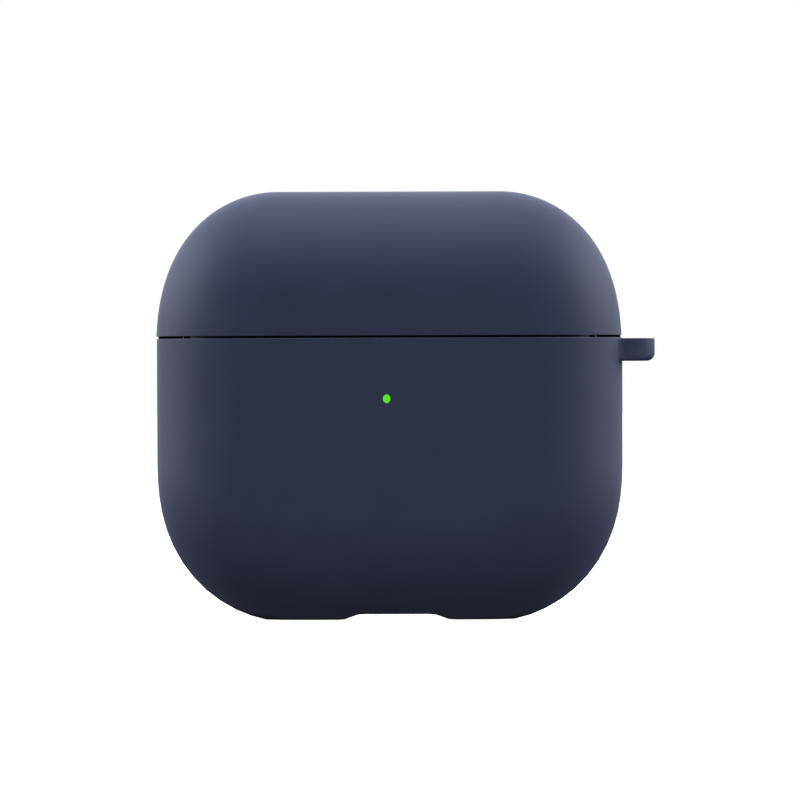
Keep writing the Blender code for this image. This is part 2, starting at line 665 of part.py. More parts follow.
def bent_leaf(arm_z, plate_end, x):
    """A hinge leaf: an arm in from the barrel and a plate along the inside of the back wall."""
    inner, outer = LEAF_Y
    arm_low, arm_high = arm_z
    if plate_end < arm_low:
        outline = [
            (HINGE_Y, arm_high),
            (inner, arm_high),
            (inner, plate_end),
            (outer, plate_end),
            (outer, arm_low),
            (HINGE_Y, arm_low),
        ]
    else:
        outline = [
            (HINGE_Y, arm_low),
            (HINGE_Y, arm_high),
            (outer, arm_high),
            (outer, plate_end),
            (inner, plate_end),
            (inner, arm_low),
        ]
    return prism("X", outline, *x)


def knuckle(radius, x):
    return moved(prism("X", circle(radius), *x), (0, HINGE_Y, SEAM_Z))


def build_hinge(frame, lid_frame, materials):
    steel = materials["steel"]
    pin_half = HINGE_HALF - HINGE_PIN_INSET
    pin = knuckle(HINGE_PIN, (-pin_half, pin_half))
    add_piece("hinge_pin", moved(pin, (0, -HINGE_Y, -SEAM_Z)), steel, frame, (0, HINGE_Y, SEAM_Z))

    middle = (-HINGE_SPLIT, HINGE_SPLIT)
    arm_z = (SEAM_Z - HINGE_BARREL, SEAM_Z - LEAF_GAP)
    body_leaf = add_piece("hinge_body_leaf", bent_leaf(arm_z, BODY_LEAF_END, middle), steel, frame)
    combine(body_leaf, "UNION", knuckle(HINGE_BARREL, middle))
    combine(body_leaf, "DIFFERENCE", knuckle(HINGE_PIN + BODY_BORE_PLAY, (-HINGE_HALF, HINGE_HALF)))

    outer_start = HINGE_SPLIT + HINGE_KNUCKLE_GAP
    plate = block((-HINGE_HALF, HINGE_HALF), LEAF_Y, LID_LEAF_Z)
    lid_leaf = add_piece("hinge_lid_leaf", plate, steel, lid_frame)
    arm_z = (SEAM_Z + LEAF_GAP, SEAM_Z + HINGE_BARREL)
    for side in (-1, 1):
        x = sorted((side * outer_start, side * HINGE_HALF))
        # The arm's plate stops inside the wide plate, so that the two share a clear overlap.
        inset = (x[0] + 0.02 * MM, x[1] - 0.02 * MM)
        combine(lid_leaf, "UNION", bent_leaf(arm_z, LID_LEAF_Z[0] + 1 * MM, inset))
        combine(lid_leaf, "UNION", knuckle(HINGE_BARREL, x))
    bore = knuckle(HINGE_PIN + LID_BORE_PLAY, (-HINGE_HALF - OVERSHOOT, HINGE_HALF + OVERSHOOT))
    combine(lid_leaf, "DIFFERENCE", bore)

    add_screws("body", BODY_SCREW, body_leaf, steel)
    add_screws("lid", LID_SCREW, lid_leaf, steel)

    top = SEAM_Z - HINGE_BARREL - 0.1 * MM
    spring = block((-SPRING_HALF, SPRING_HALF), SPRING_Y, (top - SPRING_THICKNESS, top))
    piece = add_piece("hinge_snap_spring", spring, materials["spring"], frame)
    tab = block((-SPRING_TAB_HALF, SPRING_TAB_HALF), SPRING_TAB_Y, (SPRING_TAB_LOW, top - 0.05 * MM))
    combine(piece, "UNION", tab)


def add_screws(label, place, leaf, steel):
    """Two countersunk screws through a leaf, into the moulding behind it."""
    screw_x, screw_z = place
    inner, outer = LEAF_Y
    head = outer + 0.05 * MM
    under, face = SCREW_HEAD
    recess_radius, recess_floor = SCREW_RECESS
    profile = [
        (SCREW_RADIUS, SCREW_TIP_Y),
        (SCREW_RADIUS, head),
        (under, head),
        (face, head + SCREW_HEAD_HEIGHT),
    ]
    for side, hand in ((-1, "left"), (1, "right")):
        at = (side * screw_x, 0, screw_z)
        hole = prism("Y", circle(SCREW_CLEARANCE, SMALL_STEPS), inner - 1 * MM, outer + 1 * MM)
        combine(leaf, "DIFFERENCE", hole, at)
        name = f"hinge_{label}_screw_{hand}"
        screw = add_piece(name, turned("Y", profile, SMALL_STEPS), steel, leaf.parent, at)
        recess = prism("Y", circle(recess_radius, 6), head + recess_floor, head + OVERSHOOT)
        combine(screw, "DIFFERENCE", recess, at)


# ---------------------------------------------------------------- magnets


def build_magnets(frame, lid_frame, materials):
    magnet = materials["magnet"]
    low, high = BUD_MAGNET_Z
    eased = BUD_MAGNET_RADIUS - MAGNET_EDGE
    profile = [
        (eased, low),
        (BUD_MAGNET_RADIUS, low + MAGNET_EDGE),
        (BUD_MAGNET_RADIUS, high - MAGNET_EDGE),
        (eased, high),
    ]
    for side, hand in ((-1, "left"), (1, "right")):
        x = sorted(side * value for value in LATCH_X)
        lid_bar = soft_block(x, LATCH_Y, LID_LATCH_Z, MAGNET_EDGE)
        add_piece(f"lid_magnet_{hand}", lid_bar, magnet, lid_frame)
        body_bar = soft_block(x, LATCH_Y, BODY_LATCH_Z, MAGNET_EDGE)
        add_piece(f"latch_magnet_{hand}", body_bar, magnet, frame)
        disc = turned("Z", profile, ROUND_STEPS)
        add_piece(f"bud_magnet_{hand}", disc, magnet, frame, (side * BUD_MAGNET_X, 0, 0))


# ---------------------------------------------------------------- charging contacts


def build_contacts(frame, materials):
    gold = materials["gold"]
    low, high = CONTACT_BARREL
    radius, bore = CONTACT_BARREL_RADIUS, CONTACT_BARREL_BORE
    cup = [(radius, low), (radius, high), (bore, high), (bore, low + CONTACT_BARREL_FLOOR)]
    pin = [
        (CONTACT_PIN_RADIUS, low + CONTACT_PIN_CLEARANCE - CONTACT_TIP_Z),
        (CONTACT_PIN_RADIUS, -CONTACT_NOSE),
        (CONTACT_PIN_RADIUS * 0.8, -CONTACT_NOSE * 0.3),
        (CONTACT_PIN_RADIUS * 0.3, 0.0),
    ]
    for side, hand in ((-1, "left"), (1, "right")):
        for end, place in ((-1, "front"), (1, "rear")):
            x, y = side * STEM_X, end * CONTACT_SPACING
            add_piece(f"contact_barrel_{hand}_{place}", turned("Z", cup), gold, frame, (x, y, 0))
            top = (x, y, CONTACT_TIP_Z)
            pin_frame = make_empty(f"contact_pin_{hand}_{place}_axis", frame, top)
            add_piece(f"contact_pin_{hand}_{place}", turned("Z", pin), gold, pin_frame, top)

        board_x = sorted(side * value for value in CONTACT_BOARD_X)
        board = block(board_x, (-CONTACT_BOARD_HALF_Y, CONTACT_BOARD_HALF_Y), CONTACT_BOARD_Z)
        add_piece(f"contact_board_{hand}", board, materials["board"], frame)
        flex_x = sorted(side * value for value in CONTACT_FLEX_X)
        flex = strip(flex_path(FLEX_START, CONTACT_BOARD_Z[1] + 0.1 * MM), FLEX_THICKNESS, flex_x)
        add_piece(f"contact_flex_{hand}", flex, materials["flex"], frame)


def flex_path(rear, height):
    """From a small board's edge forward under the battery, then up behind the main board."""
    front = BOARD_Y[1] + 0.15 * MM
    path = [(rear, height)]
    for step in range(4):
        angle = step / 3 * pi / 2
        path.append((front + FLEX_BEND * (1 - sin(angle)), height + FLEX_BEND * (1 - cos(angle))))
    path.append((front, FLEX_TOP))
    return list(reversed(path))


# ---------------------------------------------------------------- electronics


def build_board(frame, materials):
    body = block((-BOARD_HALF, BOARD_HALF), BOARD_Y, BOARD_Z)
    board = add_piece("main_board", body, materials["board"], frame)
    inset = 0.02 * MM
    tongue_y = (BOARD_Y[0] + inset, BOARD_Y[1] - inset)
    tongue_z = (BOARD_Z[1] - 1 * MM, BOARD_TONGUE_TOP)
    combine(board, "UNION", block((-BOARD_TONGUE_HALF, BOARD_TONGUE_HALF), tongue_y, tongue_z))

    face = BOARD_Y[0] - PART_GAP
    chip = materials["chip"]
    charger = block(CHARGER_X, (face - CHARGER_HEIGHT, face), CHARGER_Z)
    add_piece("charge_controller", charger, chip, frame)
    can = soft_block(CAN_X, (face - CAN_HEIGHT, face), CAN_Z, CAN_EDGE)
    add_piece("shield_can", can, materials["steel"], frame)
    small = (face - SMALL_PART_HEIGHT, face)
    add_piece("lid_sensor", block(SENSOR_X, small, SENSOR_Z), chip, frame)
    half_x, half_z = LED_HALF
    led = block((LIGHT_X - half_x, LIGHT_X + half_x), small, (LIGHT_Z - half_z, LIGHT_Z + half_z))
    add_piece("status_led", led, materials["adhesive"], frame)
    flange = -CASE_INNER_RADIUS + 0.1 * MM
    profile = [
        (LIGHT_PIPE, -CASE_RADIUS + 0.05 * MM),
        (LIGHT_PIPE, flange),
        (LIGHT_PIPE_FLANGE, flange),
        (LIGHT_PIPE_FLANGE, flange + 0.3 * MM),
    ]
    light_at = (LIGHT_X, 0, LIGHT_Z)
    pipe = add_piece("light_pipe", turned("Y", profile), materials["clear"], frame, light_at)
    nose = prism("Y", oval(*LIGHT_NOSE_HALF), -COVER_RADIUS + LIGHT_NOSE_RECESS, flange)
    combine(pipe, "UNION", nose, light_at)


def build_battery(frame, materials):
    cell = soft_block((-BATTERY_HALF_X, BATTERY_HALF_X), BATTERY_Y, BATTERY_Z, BATTERY_EDGE)
    add_piece("battery_cell", cell, materials["pouch"], frame)


def port_ring(shape, z):
    """A rounded rectangle, level, round the port's middle."""
    return [(PORT_X + x, y, z) for x, y in rounded_rectangle(*shape)]


def build_port(frame, materials):
    """The receptacle: a steel shell open at the base, a contact tongue, its board and its trim ring."""
    rings = [
        port_ring(PORT_OUTER, PORT_BACK),
        port_ring(PORT_OUTER, PORT_MOUTH),
        port_ring(PORT_INNER, PORT_MOUTH),
        port_ring(PORT_INNER, PORT_BACK - 0.4 * MM),
    ]
    add_piece("port_shell", loft(rings), materials["steel"], frame)

    rings = [
        port_ring(PORT_INSERT, PORT_BACK - 0.5 * MM),
        port_ring(PORT_INSERT, PORT_ROOT),
        port_ring(PORT_TONGUE, PORT_ROOT),
        port_ring(PORT_TONGUE, PORT_MOUTH + 0.6 * MM),
    ]
    add_piece("port_tongue", loft(rings), materials["chip"], frame)

    low, high = CASE_BASE + 0.05 * MM, CASE_FLOOR + 0.2 * MM
    rings = [
        port_ring(PORT_TRIM_OUTER, high),
        port_ring(PORT_TRIM_OUTER, low),
        port_ring(PORT_TRIM_INNER, low),
        port_ring(PORT_TRIM_INNER, high),
    ]
    add_piece("port_trim_ring", loft(rings, cyclic=True), materials["steel"], frame)

    board = block(PORT_BOARD_X, PORT_BOARD_Y, PORT_BOARD_Z)
    add_piece("port_board", board, materials["board"], frame)
    flex = strip(flex_path(PORT_BOARD_Y[1] - 0.05 * MM, PORT_BACK + 0.1 * MM), FLEX_THICKNESS, PORT_FLEX_X)
    add_piece("port_flex", flex, materials["flex"], frame)


# ---------------------------------------------------------------- pairing button


def build_button(frame, materials):
    """The button's origin is on its own line of travel, at the middle of its outer face."""
    at = (0, CASE_RADIUS, BUTTON_Z)
    axis = make_empty("button_axis", frame, at)
    stem, end = BUTTON_STEM
    flange, flange_low, flange_high = BUTTON_FLANGE
    profile = [
        (stem, end),
        (stem, flange_low),
        (flange, flange_low),
        (flange, flange_high),
        (BUTTON_RADIUS, flange_high),
        (BUTTON_RADIUS, -BUTTON_EDGE),
        (BUTTON_RADIUS - BUTTON_EDGE, 0.0),
    ]
    add_piece("pairing_button", turned("Y", profile, ROUND_STEPS), materials["case"], axis, at)

    span = (-SWITCH_HALF, SWITCH_HALF)
    switch_z = (BUTTON_Z - SWITCH_HALF, BUTTON_Z + SWITCH_HALF)
    switch = add_piece("tact_switch", block(span, SWITCH_Y, switch_z), materials["steel"], frame)
    plunger, plunger_low, plunger_high = SWITCH_PLUNGER
    combine(switch, "UNION", prism("Y", circle(plunger), plunger_low, plunger_high), (0, 0, BUTTON_Z))

    over = BATTERY_Z[1] + 0.2 * MM
    rear = BATTERY_Y[1] + 0.25 * MM
    front = BOARD_Y[1] + 0.2 * MM
    rear_end, front_end = BUTTON_FLEX_ENDS
    path = [(rear, rear_end), (rear, over), (front, over), (front, front_end)]
    flex = strip(path, -FLEX_THICKNESS, span)
    add_piece("button_flex", flex, materials["flex"], frame)


def main():
    for obj in list(bpy.data.objects):
        bpy.data.objects.remove(obj)
    materials = make_materials()
    root = make_empty("case_frame", at=(-LUG_REACH / 2, 0, 0))
    lid_frame = make_empty("lid_axis", root, (0, HINGE_Y, SEAM_Z))
    build_cover(root, lid_frame, materials)
    build_shells(root, lid_frame, materials)
    build_cradle(root, materials)
    build_liner(lid_frame, materials)
    build_hinge(root, lid_frame, materials)
    build_magnets(root, lid_frame, materials)
    build_contacts(root, materials)
    build_board(root, materials)
    build_battery(root, materials)
    build_port(root, materials)
    build_button(root, materials)


main()
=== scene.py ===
"""Looks of the wireless earbuds case: a black hinged charging case in a two-piece navy silicone cover.

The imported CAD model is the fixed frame. The shells are made again here from the same form as the CAD,
as fine quad meshes with rounded rims, and the visible mouldings and metal parts are made finer too. The
sealed parts inside stay as the CAD has them, with materials of their own.
"""

import json
from math import asin, cos, pi, radians, sin, sqrt

import bmesh
import bpy
import numpy as np
from mathutils import Matrix, Vector


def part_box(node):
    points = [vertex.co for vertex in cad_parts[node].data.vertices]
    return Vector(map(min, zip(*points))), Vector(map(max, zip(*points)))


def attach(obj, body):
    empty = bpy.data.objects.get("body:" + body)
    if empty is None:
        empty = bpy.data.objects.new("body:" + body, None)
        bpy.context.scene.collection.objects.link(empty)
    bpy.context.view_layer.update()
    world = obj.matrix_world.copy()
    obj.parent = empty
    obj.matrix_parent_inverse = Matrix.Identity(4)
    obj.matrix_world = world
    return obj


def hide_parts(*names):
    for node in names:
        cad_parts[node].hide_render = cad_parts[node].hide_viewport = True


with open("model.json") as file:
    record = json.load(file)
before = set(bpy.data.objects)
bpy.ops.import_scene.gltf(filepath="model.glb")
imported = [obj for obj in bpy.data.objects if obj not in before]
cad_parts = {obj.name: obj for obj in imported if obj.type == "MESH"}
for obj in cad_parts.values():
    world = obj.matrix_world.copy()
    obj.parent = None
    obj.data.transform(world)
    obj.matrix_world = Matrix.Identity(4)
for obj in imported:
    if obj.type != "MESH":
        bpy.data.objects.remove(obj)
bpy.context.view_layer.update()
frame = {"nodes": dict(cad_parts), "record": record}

MM = 0.001

# The form of the case, as the CAD has it: a flat core outline swept by a ball.
TOP_CORNER = (1.8 * MM, 5.3 * MM, 2.0)
BASE_CORNER = (5.6 * MM, 7.6 * MM, 3.5)
BASE_TRIM = 0.5 * MM
COVER_INNER_R = 10.8 * MM
CASE_INNER_R = 9.4 * MM
MOULDING_R = 9.1 * MM
COVER_FLOOR = 1.5 * MM
CASE_FLOOR = 2.9 * MM

lid_low, lid_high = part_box("cover_lid")
body_low, body_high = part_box("cover_body")
MID_X = (lid_low.x + lid_high.x) / 2
HALF_WIDTH = MID_X - body_low.x
HEIGHT = lid_high.z
COVER_R = body_high.y
BODY_RIM = body_high.z
LID_RIM = lid_low.z
SEAM_Z = (BODY_RIM + LID_RIM) / 2
CASE_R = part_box("case_shell")[1].y
CASE_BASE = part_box("case_shell")[0].z

HALF_CORE = HALF_WIDTH - COVER_R
CORE_TOP = HEIGHT - COVER_R
CORE_BASE = COVER_R - BASE_TRIM

# Scallop and port slot in the base.
PORT_X = 0.7 * MM
PORT_SLOT_HALF = (5.5 * MM, 3.1 * MM)
SCALLOP_DEPTH = 0.65 * MM
SCALLOP_HALF_TOP = 3.9 * MM
SCALLOP_HALF_BASE = 6.4 * MM

# Lug on the +X side.
LUG_ROOT_X = 25.3 * MM
LUG_TOP = BODY_RIM - 0.1 * MM
LUG_LOW = BODY_RIM - 2.69 * MM
LUG_HALF_SPAN = 3.1 * MM
LUG_BAND = 1.3 * MM
LUG_EDGE_TIP = 0.9 * MM
LUG_EDGE_ROOT = 0.3 * MM
LUG_TOP_EDGE = 0.12 * MM
LUG_FILLET = 0.4 * MM

# The soft cap hangs a little below its CAD rim and sits slightly to one side, as a loose cover does.
CAP_DROP = 0.1 * MM
CAP_SHIFT = -0.065 * MM
CAP_RIM = LID_RIM - CAP_DROP
CAP_LIP = 0.05 * MM

# Silicone tabs across the parting line's two ends, from the sleeve's rim over the case's rim.
TAB_REACH = (9.105 * MM, 11.9 * MM)
TAB_HALF = 1.0 * MM
TAB_TOP = CAP_RIM - 0.015 * MM

# Light, button and hinge.
LIGHT_X = -0.345 * MM
LIGHT_Z = 25.17 * MM
LIGHT_HALF = (0.42 * MM, 0.49 * MM)
BUTTON_Z = 17.0 * MM
BUTTON_R = 2.6 * MM
BUTTON_HOLE_R = 3.3 * MM
HINGE_Y = 11.2 * MM
COVER_NOTCH = (19.0 * MM, 2.1 * MM)
CASE_NOTCH = (13.3 * MM, 1.2 * MM)
NOTCH_PAST_RIM = 2.5 * MM

# Fineness of the swept shells.
ARC = 40
SPAN = 24
LEVELS = 34
RIM_STEPS = 5
ROUND = 64


# -------- mesh helpers


def world_x(x):
    """World X of a place given from the case's middle plane."""
    return MID_X + x


def new_piece(name, bm, material, body, replaced=(), flat_angle=35):
    """A finished piece: its normals point out, its soft edges shade smooth, and it rides on a body."""
    return finish_piece(solid(name, bm), material, body, replaced, flat_angle)


def finish_piece(piece, material, body, replaced=(), flat_angle=35):
    mesh = piece.data
    mesh.shade_smooth()
    mesh.set_sharp_from_angle(angle=radians(flat_angle))
    mesh.materials.clear()
    mesh.materials.append(material)
    weighted = piece.modifiers.new("weighted_normals", "WEIGHTED_NORMAL")
    weighted.keep_sharp = True
    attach(piece, body)
    if replaced:
        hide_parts(*replaced)
    return piece


def linked(name, data):
    """A new object in the scene."""
    made = bpy.data.objects.new(name, data)
    bpy.context.scene.collection.objects.link(made)
    return made


def solid(name, bm):
    """A bare object, its normals pointing out."""
    bmesh.ops.recalc_face_normals(bm, faces=bm.faces)
    mesh = bpy.data.meshes.new(name)
    bm.to_mesh(mesh)
    bm.free()
    return linked(name, mesh)


def add(name, bm):
    """A Boolean step that joins a solid to the piece."""
    return ("UNION", solid(name, bm))


def cut(name, bm):
    """A Boolean step that takes a solid away from the piece."""
    return ("DIFFERENCE", solid(name, bm))


def boolean(piece, steps):
    """Runs a list of (operation, tool) pairs on a piece, keeps the result as its mesh and drops the tools."""
    for operation, tool in steps:
        modifier = piece.modifiers.new(tool.name, "BOOLEAN")
        modifier.operation = operation
        modifier.solver = "EXACT"
        modifier.object = tool
    bpy.context.view_layer.update()
    mesh = bpy.data.meshes.new_from_object(piece.evaluated_get(bpy.context.evaluated_depsgraph_get()))
    if not mesh.polygons:
        raise RuntimeError(f"the Boolean left nothing of {piece.name}")
    piece.modifiers.clear()
    piece.data = mesh
    for _, tool in steps:
        bpy.data.objects.remove(tool)
    return piece


def loft(rings, cyclic=False):
    bm = bmesh.new()
    loops = [[bm.verts.new(point) for point in ring] for ring in rings]
    pairs = list(zip(loops, loops[1:]))
    if cyclic:
        pairs.append((loops[-1], loops[0]))
    for lower, upper in pairs:
        count = len(lower)
        for i in range(count):
            j = (i + 1) % count
            bm.faces.new((lower[i], lower[j], upper[j], upper[i]))
    if not cyclic:
        bm.faces.new(loops[0])
        bm.faces.new(reversed(loops[-1]))
    return bm


def on_axis(axis, outline, along, at=(0, 0, 0)):
    """Points of a 2D outline, with (u, v) as the two other axes in XYZ order, shifted to a place."""
    x, y, z = at
    if axis == "X":
        return [(x + along, y + u, z + v) for u, v in outline]
    if axis == "Y":
        return [(x + u, y + along, z + v) for u, v in outline]
    return [(x + u, y + v, z + along) for u, v in outline]


def oval(half_u, half_v, steps=ROUND):
    return [(half_u * cos(2 * pi * i / steps), half_v * sin(2 * pi * i / steps)) for i in range(steps)]


def rounded_rectangle(half_u, half_v, radius, steps=12):
    points = []
    for quadrant, (sign_u, sign_v) in enumerate(((1, 1), (-1, 1), (-1, -1), (1, -1))):
        for step in range(steps + 1):
            angle = (quadrant + step / steps) * pi / 2
            u = sign_u * (half_u - radius) + radius * cos(angle)
            v = sign_v * (half_v - radius) + radius * sin(angle)
            points.append((u, v))
    return points


def turned(axis, profile, at=(0, 0, 0), steps=ROUND, cyclic=False):
    """A turned solid from (radius, place along the axis) pairs."""
    rings = [on_axis(axis, oval(radius, radius, steps), along, at) for radius, along in profile]
    return loft(rings, cyclic)


def eased(profile, radius, steps=4):
    """A turned profile with its corners rounded. The first and last points stay."""
    points = [Vector(point) for point in profile]
    result = [points[0]]
    for before, here, after in zip(points, points[1:], points[2:]):
        into = before - here
        out = after - here
        cut = min(radius, into.length * 0.45, out.length * 0.45)
        start = here + into.normalized() * cut
        end = here + out.normalized() * cut
        for step in range(steps + 1):
            t = step / steps
            result.append(start * (1 - t) ** 2 + here * 2 * t * (1 - t) + end * t**2)
    result.append(points[-1])
    return [tuple(point) for point in result]


def round_block(x, y, z, radius, segments=3):
    """A box between two values on each axis, with rounded edges."""
    bm = bmesh.new()
    size = Vector((x[1] - x[0], y[1] - y[0], z[1] - z[0]))
    centre = Vector((x[0] + x[1], y[0] + y[1], z[0] + z[1])) / 2
    bmesh.ops.create_cube(bm, size=1.0, matrix=Matrix.Translation(centre) @ Matrix.Diagonal((*size, 1.0)))
    bmesh.ops.bevel(bm, geom=bm.edges[:], offset=radius, segments=segments, profile=0.5, affect="EDGES")
    return bm


def expanded(outline, amount):
    """A closed 2D outline, counter-clockwise, moved outwards by an amount."""
    points = np.array(outline)
    run = np.roll(points, -1, axis=0) - np.roll(points, 1, axis=0)
    run /= np.linalg.norm(run, axis=1)[:, None]
    normals = np.stack([run[:, 1], -run[:, 0]], axis=1)
    return [tuple(point) for point in points + normals * amount]


def flared(outline, place, depth, lip, ends=None, crossing=radians(20), steps=6):
    """A cutter that leaves a rounded edge of radius lip. place(u, v, below) is the point that lies under
    the surface at (u, v) by that much. It starts depth below the surface and ends a little above it. On a
    surface that isn't flat, ends gives two levels in Y beyond it on either side, where the cutter is flat."""
    rings = [[place(u, v, depth) for u, v in outline]]
    for step in range(steps + 1):
        angle = pi / 2 + (crossing - pi / 2) * step / steps
        grown = expanded(outline, lip * (1 - sin(angle)))
        rings.append([place(u, v, lip * (1 - cos(angle))) for u, v in grown])
    above = 0.15 * MM
    beyond = (above + lip * (1 - cos(crossing))) / np.tan(crossing)
    grown = expanded(outline, lip * (1 - sin(crossing)) + beyond)
    rings.append([place(u, v, -above) for u, v in grown])
    if ends:
        deep, clear = ends
        rings.insert(0, [(x, deep, z) for x, _, z in rings[0]])
        rings.append([(x, clear, z) for x, _, z in rings[-1]])
    return loft(rings)


# -------- the case's form


def corner(semi_x, semi_z, exponent, angle):
    """Point on a superellipse's quadrant whose normal is at this angle, and that normal."""
    dual = exponent / (exponent - 1)
    c, s = max(cos(angle), 0.0), max(sin(angle), 0.0)
    support = ((semi_x * c) ** dual + (semi_z * s) ** dual) ** (1 / dual)
    x = semi_x**dual * c ** (dual - 1) * support ** (1 - dual)
    z = semi_z**dual * s ** (dual - 1) * support ** (1 - dual)
    return x, z, c, s


def core_point(t):
    """Point and normal, in XZ, down the right side of the core: 0-1 top corner, 1-2 side, 2-3 base corner."""
    if t < 1:
        x, z, c, s = corner(*TOP_CORNER, pi / 2 * (1 - t))
        return HALF_CORE - TOP_CORNER[0] + x, CORE_TOP - TOP_CORNER[1] + z, c, s
    high = CORE_TOP - TOP_CORNER[1]
    low = CORE_BASE + BASE_CORNER[1]
    if t < 2:
        return HALF_CORE, high + (low - high) * (t - 1), 1.0, 0.0
    share = min(t - 2, 1.0)
    x, z, c, s = corner(*BASE_CORNER, pi / 2 * share * share * (3 - 2 * share))
    return HALF_CORE - BASE_CORNER[0] + x, low - z, c, -s


def t_at_height(z, radius, v):
    """How far down the right side a swept point reaches a height."""
    low, high = 0.0, 3.0
    for _ in range(40):
        middle = (low + high) / 2
        _, core_z, _, normal_z = core_point(middle)
        if core_z + radius * sin(v) * normal_z > z:
            low = middle
        else:
            high = middle
    return (low + high) / 2


def ring(radius, where):
    """A loop round the form: the right end's arc, the back, the left end's arc and the front."""
    right = []
    for i in range(ARC + 1):
        v = pi * i / ARC
        x, z, normal_x, normal_z = core_point(where(v))
        reach = radius * sin(v)
        right.append(Vector((x + reach * normal_x, -radius * cos(v), z + reach * normal_z)))
    left = [Vector((-p.x, p.y, p.z)) for p in reversed(right)]
    back = [right[-1].lerp(left[0], j / SPAN) for j in range(1, SPAN)]
    front = [left[-1].lerp(right[0], j / SPAN) for j in range(1, SPAN)]
    return right + back + left + front


def level(radius, z):
    return ring(radius, lambda v: t_at_height(z, radius, v))


def end_patch(bm, loop, radius, end_t, place):
    """Closes the form's top or base, where it is a plain half cylinder along X."""
    count = len(loop)
    half_x, core_z, _, normal_z = core_point(end_t)

    def vertex(i, j):
        if j == 0:
            return loop[i]
        if j == SPAN:
            return loop[2 * ARC + SPAN - i]
        if i == ARC:
            return loop[ARC + j]
        if i == 0:
            return loop[(count - j) % count]
        v = pi * i / ARC
        x = half_x * (1 - 2 * j / SPAN)
        return bm.verts.new(place(Vector((x, -radius * cos(v), core_z + radius * sin(v) * normal_z))))

    grid = [[vertex(i, j) for j in range(SPAN + 1)] for i in range(ARC + 1)]
    for i in range(ARC):
        for j in range(SPAN):
            bm.faces.new((grid[i][j], grid[i][j + 1], grid[i + 1][j + 1], grid[i + 1][j]))


def shell(outer, inner, rim, end_t, lip, inner_lip, place_outer, place_inner):
    """A closed wall between two radii of the form, from a rounded rim to its top (end_t 0) or base (3)."""
    into = 1.0 if end_t == 0 else -1.0

    def wall(radius, edge, place):
        start = {}
        rings = []
        for k in range(LEVELS, 0, -1):
            share = k / LEVELS

            def where(v, share=share):
                if v not in start:
                    start[v] = t_at_height(rim + into * edge, radius, v)
                return start[v] + (end_t - start[v]) * share

            rings.append([place(p) for p in ring(radius, where)])
        return rings

    def edge_rings(radius, edge, side, place):
        rings = []
        for step in range(RIM_STEPS + 1):
            angle = pi / 2 * (1 - step / RIM_STEPS)
            inset = edge * (1 - sin(angle))
            z = rim + into * edge * (1 - cos(angle))
            rings.append([place(p) for p in level(radius - side * inset, z)])
        return rings

    rings = wall(outer, lip, place_outer) + edge_rings(outer, lip, 1, place_outer)
    inside = wall(inner, inner_lip, place_inner) + edge_rings(inner, inner_lip, -1, place_inner)
    rings += list(reversed(inside))
    bm = bmesh.new()
    loops = [[bm.verts.new(p) for p in loop] for loop in rings]
    count = len(loops[0])
    for lower, upper in zip(loops, loops[1:]):
        for i in range(count):
            j = (i + 1) % count
            bm.faces.new((lower[i], lower[j], upper[j], upper[i]))
    end_patch(bm, loops[0], outer, end_t, place_outer)
    end_patch(bm, loops[-1], inner, end_t, place_inner)
    bmesh.ops.translate(bm, verts=bm.verts, vec=(MID_X, 0, 0))
    return bm


def plate(radius, low, high, edge):
    """A level slice of the form with rounded edges, such as a moulding's deck."""
    rings = []
    for step in range(RIM_STEPS + 1):
        angle = pi / 2 * step / RIM_STEPS
        rings.append(level(radius - edge * (1 - sin(angle)), low + edge * (1 - cos(angle))))
    for step in range(RIM_STEPS + 1):
        angle = pi / 2 * (1 - step / RIM_STEPS)
        rings.append(level(radius - edge * (1 - sin(angle)), high - edge * (1 - cos(angle))))
    bm = loft(rings)
    bmesh.ops.translate(bm, verts=bm.verts, vec=(MID_X, 0, 0))
    return bm


def dense_core():
    points = [core_point(3 * i / 900)[:2] for i in range(901)]
    return np.array(points)


CORE_LINE = dense_core()


def half_depth(x, z, radius):
    """How far in front of the middle plane the form's surface is at (x, z), with x from the middle."""
    x = abs(x)
    at = int(np.argmin(np.hypot(CORE_LINE[:, 0] - x, CORE_LINE[:, 1] - z)))
    core_x, core_z = CORE_LINE[at]
    _, _, normal_x, normal_z = core_point(3 * at / 900)
    if (x - core_x) * normal_x + (z - core_z) * normal_z <= 0:
        return radius
    away = min(np.hypot(x - core_x, z - core_z), radius)
    return sqrt(radius * radius - away * away)


def soft_max(a, b, blend):
    gap = max(blend - abs(a - b), 0.0) / blend
    return max(a, b) + gap * gap * blend / 4


def scallop_height(x):
    """Height of the base's channel at x from the middle plane."""
    away = abs(x - PORT_X)
    share = (SCALLOP_HALF_BASE - away) / (SCALLOP_HALF_BASE - SCALLOP_HALF_TOP)
    share = min(max(share, 0.0), 1.0)
    return SCALLOP_DEPTH * (1 - cos(pi * share)) / 2


def foot_place(p):
    """Settles a point of the cover's outside on its flat foot or in the scallop."""
    return Vector((p.x, p.y, soft_max(p.z, scallop_height(p.x), 0.12 * MM)))


def floor_place(height):
    def place(p):
        return Vector((p.x, p.y, max(p.z, height)))

    return place


def as_is(p):
    return p


# -------- materials


def material(name):
    made = bpy.data.materials.new(name)
    made.use_nodes = True
    nodes = made.node_tree.nodes
    links = made.node_tree.links
    return made, nodes, links, nodes["Principled BSDF"]


def noise(nodes, links, scale, detail=3.0, stretch=(1, 1, 1)):
    """Object-space noise with about scale features to the metre."""
    coordinates = nodes.new("ShaderNodeTexCoord")
    mapping = nodes.new("ShaderNodeMapping")
    mapping.inputs["Scale"].default_value = stretch
    texture = nodes.new("ShaderNodeTexNoise")
    texture.inputs["Scale"].default_value = scale
    texture.inputs["Detail"].default_value = detail
    links.new(coordinates.outputs["Object"], mapping.inputs["Vector"])
    links.new(mapping.outputs["Vector"], texture.inputs["Vector"])
    return texture


